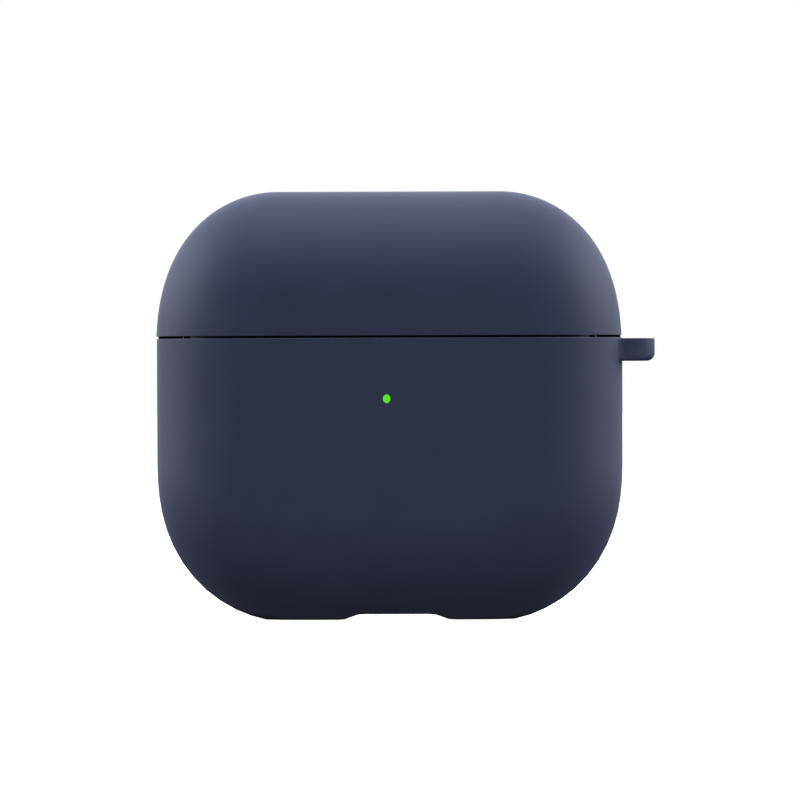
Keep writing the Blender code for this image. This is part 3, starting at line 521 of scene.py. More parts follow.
def ramp(nodes, links, source, stops):
    """A colour ramp through (place, colour) stops."""
    node = nodes.new("ShaderNodeValToRGB")
    elements = node.color_ramp.elements
    while len(elements) < len(stops):
        elements.new(0.5)
    for element, (place, colour) in zip(elements, stops):
        element.position = place
        element.color = (*colour, 1.0)
    links.new(source, node.inputs["Fac"])
    return node


def spread(nodes, links, source, low, high):
    """Maps a noise's middle range to low-high."""
    node = nodes.new("ShaderNodeMapRange")
    node.inputs["From Min"].default_value = 0.3
    node.inputs["From Max"].default_value = 0.7
    node.inputs["To Min"].default_value = low
    node.inputs["To Max"].default_value = high
    links.new(source, node.inputs["Value"])
    return node.outputs["Result"]


def bump(nodes, links, shader, source, distance, strength=1.0):
    node = nodes.new("ShaderNodeBump")
    node.inputs["Strength"].default_value = strength
    node.inputs["Distance"].default_value = distance
    links.new(source, node.inputs["Height"])
    links.new(node.outputs["Normal"], shader.inputs["Normal"])


def grained(name, colour, shares, roughness, metallic, mottle, grain, relief, stretch=(1, 1, 1)):
    """A material whose colour, gloss and surface vary a little: the common base of all of them."""
    made, nodes, links, shader = material(name)
    patches = noise(nodes, links, mottle, stretch=stretch)
    stops = [(at, tuple(value * share for value in colour)) for at, share in zip((0.3, 0.7), shares)]
    links.new(ramp(nodes, links, patches.outputs["Fac"], stops).outputs["Color"], shader.inputs["Base Color"])
    fine = noise(nodes, links, grain, 2.0, stretch)
    links.new(spread(nodes, links, fine.outputs["Fac"], *roughness), shader.inputs["Roughness"])
    shader.inputs["Metallic"].default_value = metallic
    bump(nodes, links, shader, fine.outputs["Fac"], relief * MM)
    return made


# By use: name, colour, its darkest and lightest share, roughness, metallic, patches and grains to the
# metre, the grain's relief in mm, and a stretch.
NAVY = (0.0222, 0.0270, 0.0515)
BLACK = (0.0175, 0.0175, 0.0190)
STEEL = (0.60, 0.60, 0.61)
GRAINED = {
    "silicone": ("navy_silicone", NAVY, (0.95, 1.05), (0.56, 0.64), 0.0, 180, 8000, 0.003),
    "case": ("black_gloss_plastic", BLACK, (0.9, 1.1), (0.20, 0.28), 0.0, 120, 2500, 0.0008),
    "steel": ("satin_steel", STEEL, (0.9, 1.0), (0.24, 0.38), 1.0, 900, 9000, 0.002, (0.08, 1, 1)),
    "port": ("drawn_steel", STEEL, (0.85, 1.0), (0.18, 0.30), 1.0, 600, 9000, 0.001),
    "magnet": ("nickel_plate", (0.56, 0.55, 0.52), (0.9, 1.0), (0.22, 0.34), 1.0, 500, 7000, 0.004),
    "gold": ("gold_plate", (0.86, 0.62, 0.24), (0.92, 1.0), (0.18, 0.28), 1.0, 1500, 9000, 0.001),
    "flex": ("amber_film", (0.42, 0.17, 0.025), (0.8, 1.0), (0.28, 0.38), 0.0, 600, 3000, 0.002),
    "resin": ("black_resin", (0.018, 0.018, 0.020), (1.0, 1.5), (0.45, 0.6), 0.0, 1200, 9000, 0.004),
    "foil": ("pouch_foil", (0.58, 0.59, 0.61), (0.85, 1.0), (0.28, 0.42), 1.0, 250, 900, 0.03),
    "foam": ("foam_tape", (0.74, 0.74, 0.71), (0.9, 1.0), (0.8, 0.92), 0.0, 2500, 6000, 0.05),
}


def make_materials():
    made = {use: grained(*row) for use, row in GRAINED.items()}
    silicone = made["silicone"].node_tree.nodes["Principled BSDF"]
    silicone.inputs["Specular IOR Level"].default_value = 0.30
    silicone.inputs["Sheen Weight"].default_value = 0.07
    silicone.inputs["Sheen Roughness"].default_value = 0.5
    silicone.inputs["Sheen Tint"].default_value = (0.62, 0.68, 1.0, 1.0)
    plastic = made["case"].node_tree.nodes["Principled BSDF"]
    plastic.inputs["Coat Weight"].default_value = 0.25
    plastic.inputs["Coat Roughness"].default_value = 0.08
    made["board"] = board_material()
    made["light"] = light_material()
    return made


def board_material():
    """Green solder mask over fine copper tracks."""
    made, nodes, links, shader = material("solder_mask")
    tracks = noise(nodes, links, 1400, 0.0, (1, 1, 0.25))
    mask = [(0.46, (0.012, 0.075, 0.035)), (0.5, (0.03, 0.16, 0.07)), (0.54, (0.012, 0.075, 0.035))]
    colour = ramp(nodes, links, tracks.outputs["Fac"], mask)
    links.new(colour.outputs["Color"], shader.inputs["Base Color"])
    links.new(spread(nodes, links, tracks.outputs["Fac"], 0.3, 0.42), shader.inputs["Roughness"])
    bump(nodes, links, shader, colour.outputs["Color"], 0.02 * MM)
    return made


def light_material():
    """The lit green light guide, slightly uneven across its face."""
    made, nodes, links, shader = material("lit_green_guide")
    glow = noise(nodes, links, 1200, 1.0)
    green = ((0.066, 0.755, 0.001), (0.080, 0.790, 0.004))
    colour = ramp(nodes, links, glow.outputs["Fac"], [(0.3, green[0]), (0.7, green[1])])
    links.new(colour.outputs["Color"], shader.inputs["Emission Color"])
    shader.inputs["Base Color"].default_value = (0.01, 0.04, 0.01, 1.0)
    shader.inputs["Specular IOR Level"].default_value = 0.12
    shader.inputs["Emission Strength"].default_value = 1.0
    shader.inputs["Roughness"].default_value = 0.35
    return made


# -------- silicone cover


def lug():
    """The lanyard loop's solid: a half ellipse in plan, rounder underneath towards its tip, that flares
    into the wall at its root."""
    reach = body_high.x - MID_X - LUG_ROOT_X
    steps = 48
    angles = [pi * (step / steps - 0.5) for step in range(steps + 1)]

    def flare(x, y):
        """How far the surface flares at a plan point, from how near it is to the wall."""
        wall = HALF_CORE + sqrt(COVER_R**2 - y * y)
        near = min(max(LUG_FILLET - (x - wall), 0.0), LUG_FILLET)
        return LUG_FILLET - sqrt(LUG_FILLET**2 - near * near)

    def ring_at(turn, base, upward, edges):
        """One ring round an edge: turn runs from 0, flat, to 90 degrees, upright."""
        ring = []
        for a, edge in zip(angles, edges):
            inset = edge * (1 - sin(turn))
            x = LUG_ROOT_X + (reach - inset) * cos(a)
            y = (LUG_HALF_SPAN - inset) * sin(a)
            spread_out = flare(x, y)
            z = base + upward * edge * (1 - cos(turn))
            if upward > 0:
                from_wall = (x - HALF_CORE - sqrt(COVER_R**2 - y * y)) / LUG_FILLET
                z -= spread_out * 0.5 * (1 - sin(turn)) * min(max(from_wall + 1.5, 0.0), 1.0)
            ring.append((world_x(x), y + np.sign(y) * spread_out, z))
        return ring

    under = [LUG_EDGE_ROOT + (LUG_EDGE_TIP - LUG_EDGE_ROOT) * cos(a) ** 4 for a in angles]
    top = [LUG_TOP_EDGE] * len(angles)
    rings = [ring_at(0, LUG_LOW, 1, [share * LUG_HALF_SPAN for _ in angles]) for share in (0.7, 0.45)]
    rings = [[(x, y, LUG_LOW) for x, y, _ in ring] for ring in rings]
    rings += [ring_at(pi / 2 * step / 8, LUG_LOW, 1, under) for step in range(9)]
    rings += [ring_at(pi / 2 * (1 - step / 3), LUG_TOP, -1, top) for step in range(4)]
    return loft(rings)


def lug_hole():
    reach = body_high.x - MID_X - LUG_ROOT_X - LUG_BAND
    half = LUG_HALF_SPAN - LUG_BAND
    points = [(LUG_ROOT_X + reach * cos(a), half * sin(a)) for a in (pi * (s / 32 - 0.5) for s in range(33))]
    behind = LUG_ROOT_X - 1.0 * MM
    points = [(behind, -half)] + points + [(behind, half)]
    outline = [(world_x(x), y) for x, y in points]
    lip = 0.18 * MM
    rings = [on_axis("Z", expanded(outline, lip * 1.5), LUG_LOW - lip * 3)]
    for z, sign in ((LUG_LOW, 1), (LUG_TOP, -1)):
        steps = range(5) if sign > 0 else range(4, -1, -1)
        for step in steps:
            angle = radians(15) + step / 4 * radians(75)
            grown = expanded(outline, lip * (1 - sin(angle)))
            rings.append(on_axis("Z", grown, z + sign * lip * (1 - cos(angle))))
    rings.append(on_axis("Z", expanded(outline, lip * 1.5), LUG_TOP + lip * 2))
    return loft(rings)


def notch_cutter(notch, rim, up, radius, inner_radius, lip, mouth):
    """The hinge's notch in a back wall: rounded at its foot, eased out at the rim, with a soft outer edge.
    The mouth's radius is larger than the soft edge's flare, or the cutter would cross itself."""
    half, height = notch
    foot = 0.8 * MM
    outline = [(-half - mouth, NOTCH_PAST_RIM)]
    for step in range(7):
        angle = pi / 2 * (1 - step / 6)
        outline.append((-half - mouth + mouth * cos(angle), -mouth + mouth * sin(angle)))
    for step in range(7):
        angle = pi + pi / 2 * step / 6
        outline.append((-half + foot + foot * cos(angle), -height + foot + foot * sin(angle)))
    spans = 24
    middle = [(-half + foot + (2 * half - 2 * foot) * i / spans, -height) for i in range(1, spans)]
    right = [(-x, z) for x, z in reversed(outline)]
    points = outline + middle + right
    if up < 0:
        points = [(x, -z) for x, z in reversed(points)]

    def place(x, z, below):
        return (world_x(x), half_depth(x, rim + z, radius) - below, rim + z)

    ends = (inner_radius / 2, radius + 1 * MM)
    return flared(points, place, radius - inner_radius + 1.2 * MM, lip, ends, crossing=radians(45))


def port_slot_cutter():
    outline = [(PORT_X + x, y) for x, y in rounded_rectangle(*PORT_SLOT_HALF, 1.5 * MM)]

    def place(x, y, below):
        bottom = CORE_BASE - sqrt(COVER_R**2 - y * y)
        return (world_x(x), y, soft_max(bottom, scallop_height(x), 0.12 * MM) + below)

    return flared(outline, place, 3.0 * MM, 0.25 * MM)


def hole_cutter(outline, x, z, surface_y, depth, lip, front):
    """A hole through a flat stretch of the front or back wall."""
    side = -1 if front else 1

    def place(u, w, below):
        return (world_x(x) + u, side * (surface_y - below), z + w)

    return flared(outline, place, depth, lip)


def make_cover(materials):
    silicone = materials["silicone"]
    through = COVER_R - COVER_INNER_R + 0.3 * MM
    lip = 0.16 * MM
    inner_lip = 0.2 * MM
    places = (foot_place, floor_place(COVER_FLOOR))
    body = solid("silicone_sleeve", shell(COVER_R, COVER_INNER_R, BODY_RIM, 3.0, lip, inner_lip, *places))
    loop = boolean(solid("lanyard_loop", lug()), [cut("loop_hole", lug_hole())])
    loop = boolean(loop, [cut("sleeve_hollow", lug_trim())])
    light = hole_cutter(oval(*LIGHT_HALF, 48), LIGHT_X, LIGHT_Z, COVER_R, through, 0.1 * MM, front=True)
    round_hole = oval(BUTTON_HOLE_R, BUTTON_HOLE_R)
    button = hole_cutter(round_hole, 0, BUTTON_Z, COVER_R, through, 0.3 * MM, front=False)
    notch = notch_cutter(COVER_NOTCH, BODY_RIM, 1, COVER_R, COVER_INNER_R, 0.35 * MM, 0.8 * MM)
    boolean(
        body,
        rim_tabs()
        + [
            ("UNION", loop),
            cut("light_cut", light),
            cut("button_cut", button),
            cut("port_cut", port_slot_cutter()),
            cut("notch_cut", notch),
        ],
    )
    finish_piece(body, silicone, "case_body", ["cover_body"])

    bm = shell(COVER_R, COVER_INNER_R, CAP_RIM, 0.0, CAP_LIP, inner_lip, as_is, as_is)
    bmesh.ops.translate(bm, verts=bm.verts, vec=(CAP_SHIFT, 0, 0))
    lid = solid("silicone_cap", bm)
    half, height = COVER_NOTCH
    cap_notch = (half, height + CAP_DROP)
    notch = notch_cutter(cap_notch, CAP_RIM, -1, COVER_R, COVER_INNER_R, 0.35 * MM, 0.8 * MM)
    boolean(lid, [cut("notch_cut", notch)])
    finish_piece(lid, silicone, "lid", ["cover_lid"])


def rim_tabs():
    """Steps that add the sleeve's two tabs. Each has a root in the rim and a tongue over the case's rim."""
    near, far = (HALF_CORE + reach for reach in TAB_REACH)
    root_inner = HALF_CORE + COVER_INNER_R + 0.2 * MM
    width = (-TAB_HALF, TAB_HALF)
    steps = []
    for side in (-1, 1):
        root_x = sorted((world_x(side * root_inner), world_x(side * far)))
        tongue_x = sorted((world_x(side * near), world_x(side * (far - 0.4 * MM))))
        root = round_block(root_x, width, (BODY_RIM - 0.5 * MM, TAB_TOP), 0.05 * MM)
        tongue = round_block(tongue_x, width, (BODY_RIM + 0.03 * MM, TAB_TOP), 0.02 * MM)
        steps += [add("tab_root", root), add("tab_tongue", tongue)]
    return steps


def lug_trim():
    """A block that keeps the loop's root out of the sleeve's hollow."""
    inside = HALF_CORE + COVER_INNER_R + 0.5 * MM
    return round_block((world_x(0), world_x(inside)), (-10 * MM, 10 * MM), (20 * MM, 40 * MM), 0.1 * MM, 1)


# -------- case shells


def make_shells(materials):
    plastic = materials["case"]
    edge = 0.22 * MM
    places = (floor_place(CASE_BASE), floor_place(CASE_FLOOR))
    body = solid("case_body_shell", shell(CASE_R, CASE_INNER_R, BODY_RIM, 3.0, edge, edge, *places))
    through = CASE_R - CASE_INNER_R + 0.4 * MM
    port_outline = [(PORT_X + x, y) for x, y in rounded_rectangle(5.4 * MM, 2.55 * MM, 2.3 * MM)]

    def port_place(x, y, below):
        return (world_x(x), y, CASE_BASE + below)

    port = flared(port_outline, port_place, 2.5 * MM, 0.12 * MM)
    seat = oval(0.75 * MM, 0.75 * MM, 48)
    light = hole_cutter(seat, LIGHT_X, LIGHT_Z, CASE_R, through, 0.08 * MM, front=True)
    hole = BUTTON_R + 0.15 * MM
    button = hole_cutter(oval(hole, hole), 0, BUTTON_Z, CASE_R, through, 0.12 * MM, front=False)
    notch = notch_cutter(CASE_NOTCH, BODY_RIM, 1, CASE_R, CASE_INNER_R, 0.15 * MM, 0.3 * MM)
    boolean(
        body,
        [
            cut("port_cut", port),
            cut("light_cut", light),
            cut("button_cut", button),
            cut("notch_cut", notch),
        ],
    )
    finish_piece(body, plastic, "case_body", ["case_shell"])

    lid = solid("case_lid_shell", shell(CASE_R, CASE_INNER_R, LID_RIM, 0.0, edge, edge, as_is, as_is))
    notch = notch_cutter(CASE_NOTCH, LID_RIM, -1, CASE_R, CASE_INNER_R, 0.15 * MM, 0.3 * MM)
    boolean(lid, [cut("notch_cut", notch)])
    finish_piece(lid, plastic, "lid", ["lid_shell"])


# -------- mouldings inside

WELL_X = 10.5 * MM
BOWL_Z = 32.2 * MM
BOWL_HALF = (7.8 * MM, 7.6 * MM, 9.0 * MM)
BOWL_WALL = 1.0 * MM
STEM_X = 16.0 * MM
STEM_BORE = 3.4 * MM
STEM_WALL = 0.9 * MM
STEM_FLOOR = 10.0 * MM
STEM_BASE = 9.0 * MM
CONTACT_SPACING = 1.2 * MM
DOME_HALF = (8.6 * MM, 7.0 * MM, 10.6 * MM)
DOME_WALL = 0.9 * MM
WELL_LIP = 0.7 * MM
CRADLE_TOP = 31.4 * MM
CRADLE_LOW = 29.6 * MM
LIP_R = 8.5 * MM
LIP_TOP = 32.7 * MM
LINER_LOW = 33.0 * MM
LINER_TOP = 34.2 * MM
LEAF_SLOT_HALF = 13.3 * MM
CONTACT_HOLE_R = 0.9 * MM
SCREW_R = 0.55 * MM
BOSS_R = 1.3 * MM
CRADLE_SCREW_X = 4.0 * MM
CRADLE_SCREW_Z = 27.5 * MM
LINER_SCREW_X = 2.2 * MM
LINER_SCREW_Z = 36 * MM


def half_bowl(x, half, centre_z, open_z, sign, lip, steps=22):
    """An ellipsoid's half, from its far end to its mouth at open_z, then a rounded lip past the mouth.
    sign is 1 where the bowl hangs below its mouth and -1 where a dome stands above it."""
    rings = []
    mouth = (centre_z - open_z) * sign / half[2]
    end = asin(min(max(mouth, 0.0), 1.0))
    for step in range(steps + 1):
        angle = radians(88) + (end - radians(88)) * step / steps
        share = cos(angle)
        z = centre_z - sign * half[2] * sin(angle)
        inner = oval(half[0] * share, half[1] * share)
        if lip and abs(z - open_z) < lip:
            continue
        rings.append([(world_x(x) + u, v, z) for u, v in inner])
    if not lip:
        return loft(rings)
    share = cos(end)
    base = oval(half[0] * share, half[1] * share)
    for step in range(7):
        angle = pi / 2 + (radians(15) - pi / 2) * step / 6
        grown = expanded(base, lip * (1 - sin(angle)))
        z = open_z - sign * lip * (1 - cos(angle))
        rings.append([(world_x(x) + u, v, z) for u, v in grown])
    grown = expanded(base, lip * 1.4)
    rings.append([(world_x(x) + u, v, open_z + sign * lip) for u, v in grown])
    return loft(rings)


def stem_cut(x):
    base = oval(STEM_BORE, STEM_BORE)
    foot = 0.6 * MM
    rings = []
    for step in range(6):
        angle = pi / 2 * step / 5
        shrunk = expanded(base, -foot * (1 - sin(angle)))
        rings.append([(world_x(x) + u, v, STEM_FLOOR + foot * (1 - cos(angle))) for u, v in shrunk])
    for step in range(7):
        angle = pi / 2 + (radians(15) - pi / 2) * step / 6
        grown = expanded(base, WELL_LIP * (1 - sin(angle)))
        rings.append([(world_x(x) + u, v, CRADLE_TOP - WELL_LIP * (1 - cos(angle))) for u, v in grown])
    rings.append([(world_x(x) + u, v, CRADLE_TOP + WELL_LIP) for u, v in expanded(base, WELL_LIP * 1.4)])
    return loft(rings)


def lip_cutter():
    """What leaves the lip round the cradle's edge: a level slice that flares over the lip's inner edge."""
    ease = 0.18 * MM
    foot = 0.3 * MM
    rings = []
    for step in range(5):
        angle = pi / 2 * step / 4
        rings.append(level(LIP_R - foot * (1 - sin(angle)), CRADLE_TOP + foot * (1 - cos(angle))))
    for step in range(5):
        angle = pi / 2 - radians(70) * step / 4
        rings.append(level(LIP_R + ease * (1 - sin(angle)), LIP_TOP - ease * (1 - cos(angle))))
    rings.append(level(LIP_R + ease, LIP_TOP + ease))
    bm = loft(rings)
    bmesh.ops.translate(bm, verts=bm.verts, vec=(MID_X, 0, 0))
    return bm


def block(half, y, z, radius):
    """A rounded block across the middle plane."""
    return round_block((world_x(-half), world_x(half)), y, z, radius)


def screw_cut(x, z):
    ends = [(SCREW_R, 5.2 * MM), (SCREW_R, 12 * MM)]
    return cut("screw_hole", turned("Y", ends, (world_x(x), 0, z), 24))


def make_mouldings(materials):
    plastic = materials["case"]
    cradle = solid("earbud_cradle", plate(MOULDING_R, CRADLE_LOW, LIP_TOP, 0.18 * MM))
    grow = []
    cuts = [cut("lip_inside", lip_cutter())]
    radius = STEM_BORE + STEM_WALL
    tube = eased([(radius * 0.6, STEM_BASE), (radius, STEM_BASE), (radius, CRADLE_LOW + 0.5 * MM)], 0.4 * MM)
    outer = [value + BOWL_WALL for value in BOWL_HALF]
    for side in (-1, 1):
        well_x = side * WELL_X
        stem_x = side * STEM_X
        screw_x = side * CRADLE_SCREW_X
        grow.append(add("bowl_wall", half_bowl(well_x, outer, BOWL_Z, CRADLE_TOP - 0.5 * MM, 1, 0)))
        grow.append(add("stem_wall", turned("Z", tube, (world_x(stem_x), 0, 0))))
        boss = [(BOSS_R, 2.5 * MM), (BOSS_R, 8.0 * MM)]
        grow.append(add("screw_boss", turned("Y", boss, (world_x(screw_x), 0, CRADLE_SCREW_Z), 32)))
        cuts.append(cut("bowl_cut", half_bowl(well_x, BOWL_HALF, BOWL_Z, CRADLE_TOP, 1, WELL_LIP)))
        cuts.append(cut("stem_bore", stem_cut(stem_x)))
        for end in (-1, 1):
            at = (world_x(stem_x), end * CONTACT_SPACING, 0)
            hole = [(CONTACT_HOLE_R, 8.0 * MM), (CONTACT_HOLE_R, 11.0 * MM)]
            cuts.append(cut("contact_hole", turned("Z", hole, at, 32)))
        cuts.append(screw_cut(screw_x, CRADLE_SCREW_Z))
    cuts.append(cut("leaf_slot", block(6.4 * MM, (7.9 * MM, 12 * MM), (26 * MM, 35 * MM), 0.3 * MM)))
    gap_z = (CRADLE_TOP + 0.02 * MM, 36 * MM)
    cuts.append(cut("lip_gap", block(LEAF_SLOT_HALF, (4 * MM, 12 * MM), gap_z, 0.25 * MM)))
    boolean(cradle, grow + cuts)
    finish_piece(cradle, plastic, "case_body", ["cradle"])

    liner = solid("lid_inner_liner", plate(MOULDING_R, LINER_LOW, LINER_TOP, 0.3 * MM))
    grow = []
    cuts = []
    outer = [value + DOME_WALL for value in DOME_HALF]
    for side in (-1, 1):
        well_x = side * WELL_X
        grow.append(add("dome_wall", half_bowl(well_x, outer, LINER_LOW, LINER_LOW + 0.3 * MM, -1, 0)))
        cuts.append(cut("dome_cut", half_bowl(well_x, DOME_HALF, LINER_LOW, LINER_LOW, -1, WELL_LIP)))
        cuts.append(screw_cut(side * LINER_SCREW_X, LINER_SCREW_Z))
    grow.append(add("hinge_web", block(4.2 * MM, (4.5 * MM, 8 * MM), (33.8 * MM, 38 * MM), 0.25 * MM)))
    slot = block(LEAF_SLOT_HALF, (7.95 * MM, 12 * MM), (30 * MM, 34.35 * MM), 0.3 * MM)
    cuts.append(cut("leaf_slot", slot))
    boolean(liner, grow + cuts)
    finish_piece(liner, plastic, "lid", ["lid_liner"])


# -------- hinge

HINGE_LINE = (0, HINGE_Y, SEAM_Z)
LEAF_THICK = 0.6 * MM
KNUCKLE_R = 0.9 * MM
KNUCKLE_BORE = 0.47 * MM
KNUCKLE_SPLIT = 6.3 * MM
ARM_OFFSET = 0.3 * MM
LID_PLATE_LOW = 33.6 * MM


def make_hinge(materials):
    steel = materials["steel"]
    low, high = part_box("hinge_pin")
    radius = (high.z - low.z) / 2
    end = 0.12 * MM
    profile = eased([(radius * 0.4, low.x), (radius, low.x), (radius, high.x), (radius * 0.4, high.x)], end)
    pin = turned("X", profile, HINGE_LINE, 32)
    new_piece("hinge_pin_fine", pin, steel, "case_body", ["hinge_pin"])
    make_leaf("hinge_body_leaf", steel, "case_body", -1)
    make_leaf("hinge_lid_leaf", steel, "lid", 1)


def make_leaf(node, steel, body, up):
    """A bent leaf: knuckles on the pin, arms in over the rim, and a plate along the inside of the wall."""
    low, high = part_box(node)
    inner_y = low.y
    if up < 0:
        spans = [(low.x, high.x)]
        arm_z = (SEAM_Z - KNUCKLE_R, SEAM_Z - ARM_OFFSET)
        plate_z = (low.z, arm_z[1])
    else:
        spans = [(low.x, world_x(-KNUCKLE_SPLIT)), (world_x(KNUCKLE_SPLIT), high.x)]
        arm_z = (SEAM_Z + ARM_OFFSET, SEAM_Z + KNUCKLE_R)
        plate_z = (LID_PLATE_LOW, high.z)
    pieces = []
    for span in spans:
        outline = arm_outline(inner_y, arm_z, plate_z, up)
        pieces.append(loft([on_axis("X", outline, span[0]), on_axis("X", outline, span[1])]))
        pieces.append(turned("X", [(KNUCKLE_R, span[0]), (KNUCKLE_R, span[1])], HINGE_LINE, 48))
    if up > 0:
        pieces.append(round_block((low.x, high.x), (inner_y, inner_y + LEAF_THICK), plate_z, 0.12 * MM, 2))
    leaf = solid(node + "_fine", pieces[0])
    steps = [add("leaf_part", part) for part in pieces[1:]]
    bore_ends = [(KNUCKLE_BORE, low.x - 1 * MM), (KNUCKLE_BORE, high.x + 1 * MM)]
    steps.append(cut("bore_cut", turned("X", bore_ends, HINGE_LINE, 48)))
    boolean(leaf, steps)
    finish_piece(leaf, steel, body, [node])


def arm_outline(inner_y, arm_z, plate_z, up):
    """The bent sheet's section in YZ, with a rounded outer bend."""
    bend = 0.5 * MM
    outer_y = inner_y + LEAF_THICK
    far_z = plate_z[0]
    if up < 0:
        top = arm_z[1]
        points = [(HINGE_Y, arm_z[0]), (HINGE_Y, top)]
        for step in range(6):
            angle = pi / 2 + pi / 2 * step / 5
            points.append((inner_y + bend + bend * cos(angle), top - bend + bend * sin(angle)))
        points += [(inner_y, far_z), (outer_y, far_z), (outer_y, arm_z[0])]
        return points
    far_z += 0.8 * MM
    base = arm_z[0]
    points = [(HINGE_Y, arm_z[1]), (outer_y, arm_z[1]), (outer_y, far_z), (inner_y, far_z)]
    for step in range(6):
        angle = pi + pi / 2 * step / 5
        points.append((inner_y + bend + bend * cos(angle), base + bend + bend * sin(angle)))
    points.append((HINGE_Y, base))
    return points


# -------- button, light, port, contacts


def make_button(materials):
    """A round button with a slightly dished face, a retaining flange and a stem."""
    face = CASE_R
    stem_r = 0.8 * MM
    stem_end = face - 2.8 * MM
    flange_r = 3.1 * MM
    flange_low = face - 1.9 * MM
    flange_top = face - 1.4 * MM
    profile = [
        (0.5 * MM, stem_end),
        (stem_r, stem_end),
        (stem_r, flange_low),
        (flange_r, flange_low),
        (flange_r, flange_top),
        (BUTTON_R, flange_top),
        (BUTTON_R, face),
        (1.9 * MM, face - 0.04 * MM),
        (1.0 * MM, face - 0.10 * MM),
        (0.1 * MM, face - 0.12 * MM),
    ]
    bm = turned("Y", eased(profile, 0.16 * MM), (world_x(0), 0, BUTTON_Z))
    new_piece("pairing_button_cap", bm, materials["case"], "button", ["pairing_button"])


def make_light(materials):
    """The light guide: an oval nose with a domed face fills the cover's hole, with its round seat behind."""
    low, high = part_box("light_pipe")
    flange = -CASE_INNER_R + 0.1 * MM
    shoulder = -CASE_R + 0.05 * MM
    nose = [half - 0.012 * MM for half in LIGHT_HALF]
    rings = []
    for step in range(7):
        angle = radians(10) + step / 6 * radians(80)
        share = 0.75 + 0.25 * sin(angle) if step else 0.4
        rings.append((oval(nose[0] * share, nose[1] * share), low.y + 0.1 * MM * (1 - cos(angle))))
    rings.append((oval(*nose), shoulder - 0.02 * MM))
    seat = (
        (0.58 * MM, shoulder),
        (0.62 * MM, shoulder + 0.04 * MM),
        (0.62 * MM, flange),
        (1.0 * MM, flange + 0.01 * MM),
        (1.0 * MM, high.y),
    )
    rings += [(oval(radius, radius), along) for radius, along in seat]
    at = (world_x(LIGHT_X), 0, LIGHT_Z)
    bm = loft([on_axis("Y", outline, along, at) for outline, along in rings])
    new_piece("light_guide", bm, materials["light"], "case_body", ["light_pipe"])


def make_port(materials):
    def level_ring(z, half_x, half_y, radius):
        outline = rounded_rectangle(half_x * MM, half_y * MM, radius * MM)
        return on_axis("Z", [(world_x(PORT_X) + x, y) for x, y in outline], z)

    low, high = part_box("port_shell")
    mouth, back = low.z, high.z
    lip = 0.06 * MM
    rings = [
        level_ring(back, 4.40, 1.53, 1.48),
        level_ring(back - 0.1 * MM, 4.47, 1.60, 1.55),
        level_ring(mouth + lip, 4.47, 1.60, 1.55),
        level_ring(mouth, 4.43, 1.56, 1.51),
        level_ring(mouth, 4.23, 1.36, 1.31),
        level_ring(mouth + lip, 4.17, 1.30, 1.25),
        level_ring(back - 0.4 * MM, 4.17, 1.30, 1.25),
    ]
    new_piece("port_receptacle", loft(rings), materials["port"], "case_body", ["port_shell"])

    root = 7.0 * MM
    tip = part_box("port_tongue")[0].z
    rings = [
        level_ring(back - 0.5 * MM, 4.1, 1.2, 1.15),
        level_ring(root, 4.1, 1.2, 1.15),
        level_ring(root, 3.35, 0.35, 0.3),
        level_ring(tip + 0.15 * MM, 3.35, 0.35, 0.3),
        level_ring(tip, 3.20, 0.22, 0.2),
    ]
    tongue = loft(rings)
    new_piece("port_tongue_fine", tongue, materials["resin"], "case_body", ["port_tongue"])
    pads = bmesh.new()
    pitch = 0.5 * MM
    for side in (-1, 1):
        for i in range(12):
            x = world_x(PORT_X) + (i - 5.5) * pitch
            y = side * 0.36 * MM
            centre = Vector((x, y, tip + 2.1 * MM))
            size = Matrix.Diagonal((0.26 * MM, 0.06 * MM, 3.2 * MM, 1.0))
            bmesh.ops.create_cube(pads, size=1.0, matrix=Matrix.Translation(centre) @ size)
    bmesh.ops.bevel(pads, geom=pads.edges[:], offset=0.015 * MM, segments=1, affect="EDGES")
    new_piece("port_contact_pads", pads, materials["gold"], "case_body")

    low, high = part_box("port_trim_ring")
    ease = 0.12
    outer = (5.2, 2.35, 2.3)
    inner = (4.65, 1.78, 1.75)
    rings = [level_ring(high.z, *outer)]
    for sizes, sign, steps in ((outer, -1, range(4, -1, -1)), (inner, 1, range(5))):
        for step in steps:
            angle = pi / 2 * step / 4
            moved = [value + sign * ease * (1 - sin(angle)) for value in sizes]
            rings.append(level_ring(low.z + ease * MM * (1 - cos(angle)), *moved))
    rings.append(level_ring(high.z, *inner))
    trim = loft(rings, cyclic=True)
    new_piece("port_trim_ring_fine", trim, materials["port"], "case_body", ["port_trim_ring"])


def make_contacts(materials):
    """The sprung pins with rounded noses, each in its flanged barrel."""
    for hand in ("left", "right"):
        for place in ("front", "rear"):
            gold = materials["gold"]
            node = f"contact_pin_{hand}_{place}"
            low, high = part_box(node)
            middle = (low + high) / 2
            radius = (high.x - low.x) / 2
            turns = [pi / 2 * step / 8 for step in range(8)]
            nose = [(radius * cos(a), high.z - radius + radius * sin(a)) for a in turns]
            profile = [(radius, low.z), *nose, (radius * 0.1, high.z)]
            bm = turned("Z", profile, (middle.x, middle.y, 0), 40)
            new_piece(f"{node}_fine", bm, gold, f"pin_{hand}_{place}", [node])
            barrel_node = f"contact_barrel_{hand}_{place}"
            low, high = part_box(barrel_node)
            outer = (high.x - low.x) / 2
            bore = 0.5 * MM
            cup = [
                (outer, low.z),
                (outer, high.z - 0.06 * MM),
                (outer - 0.06 * MM, high.z),
                (bore + 0.06 * MM, high.z),
                (bore, high.z - 0.06 * MM),
                (bore, low.z + 0.3 * MM),
            ]
            bm = turned("Z", cup, (middle.x, middle.y, 0), 40)
            new_piece(f"{barrel_node}_fine", bm, gold, "case_body", [barrel_node])


# -------- CAD nodes that stay


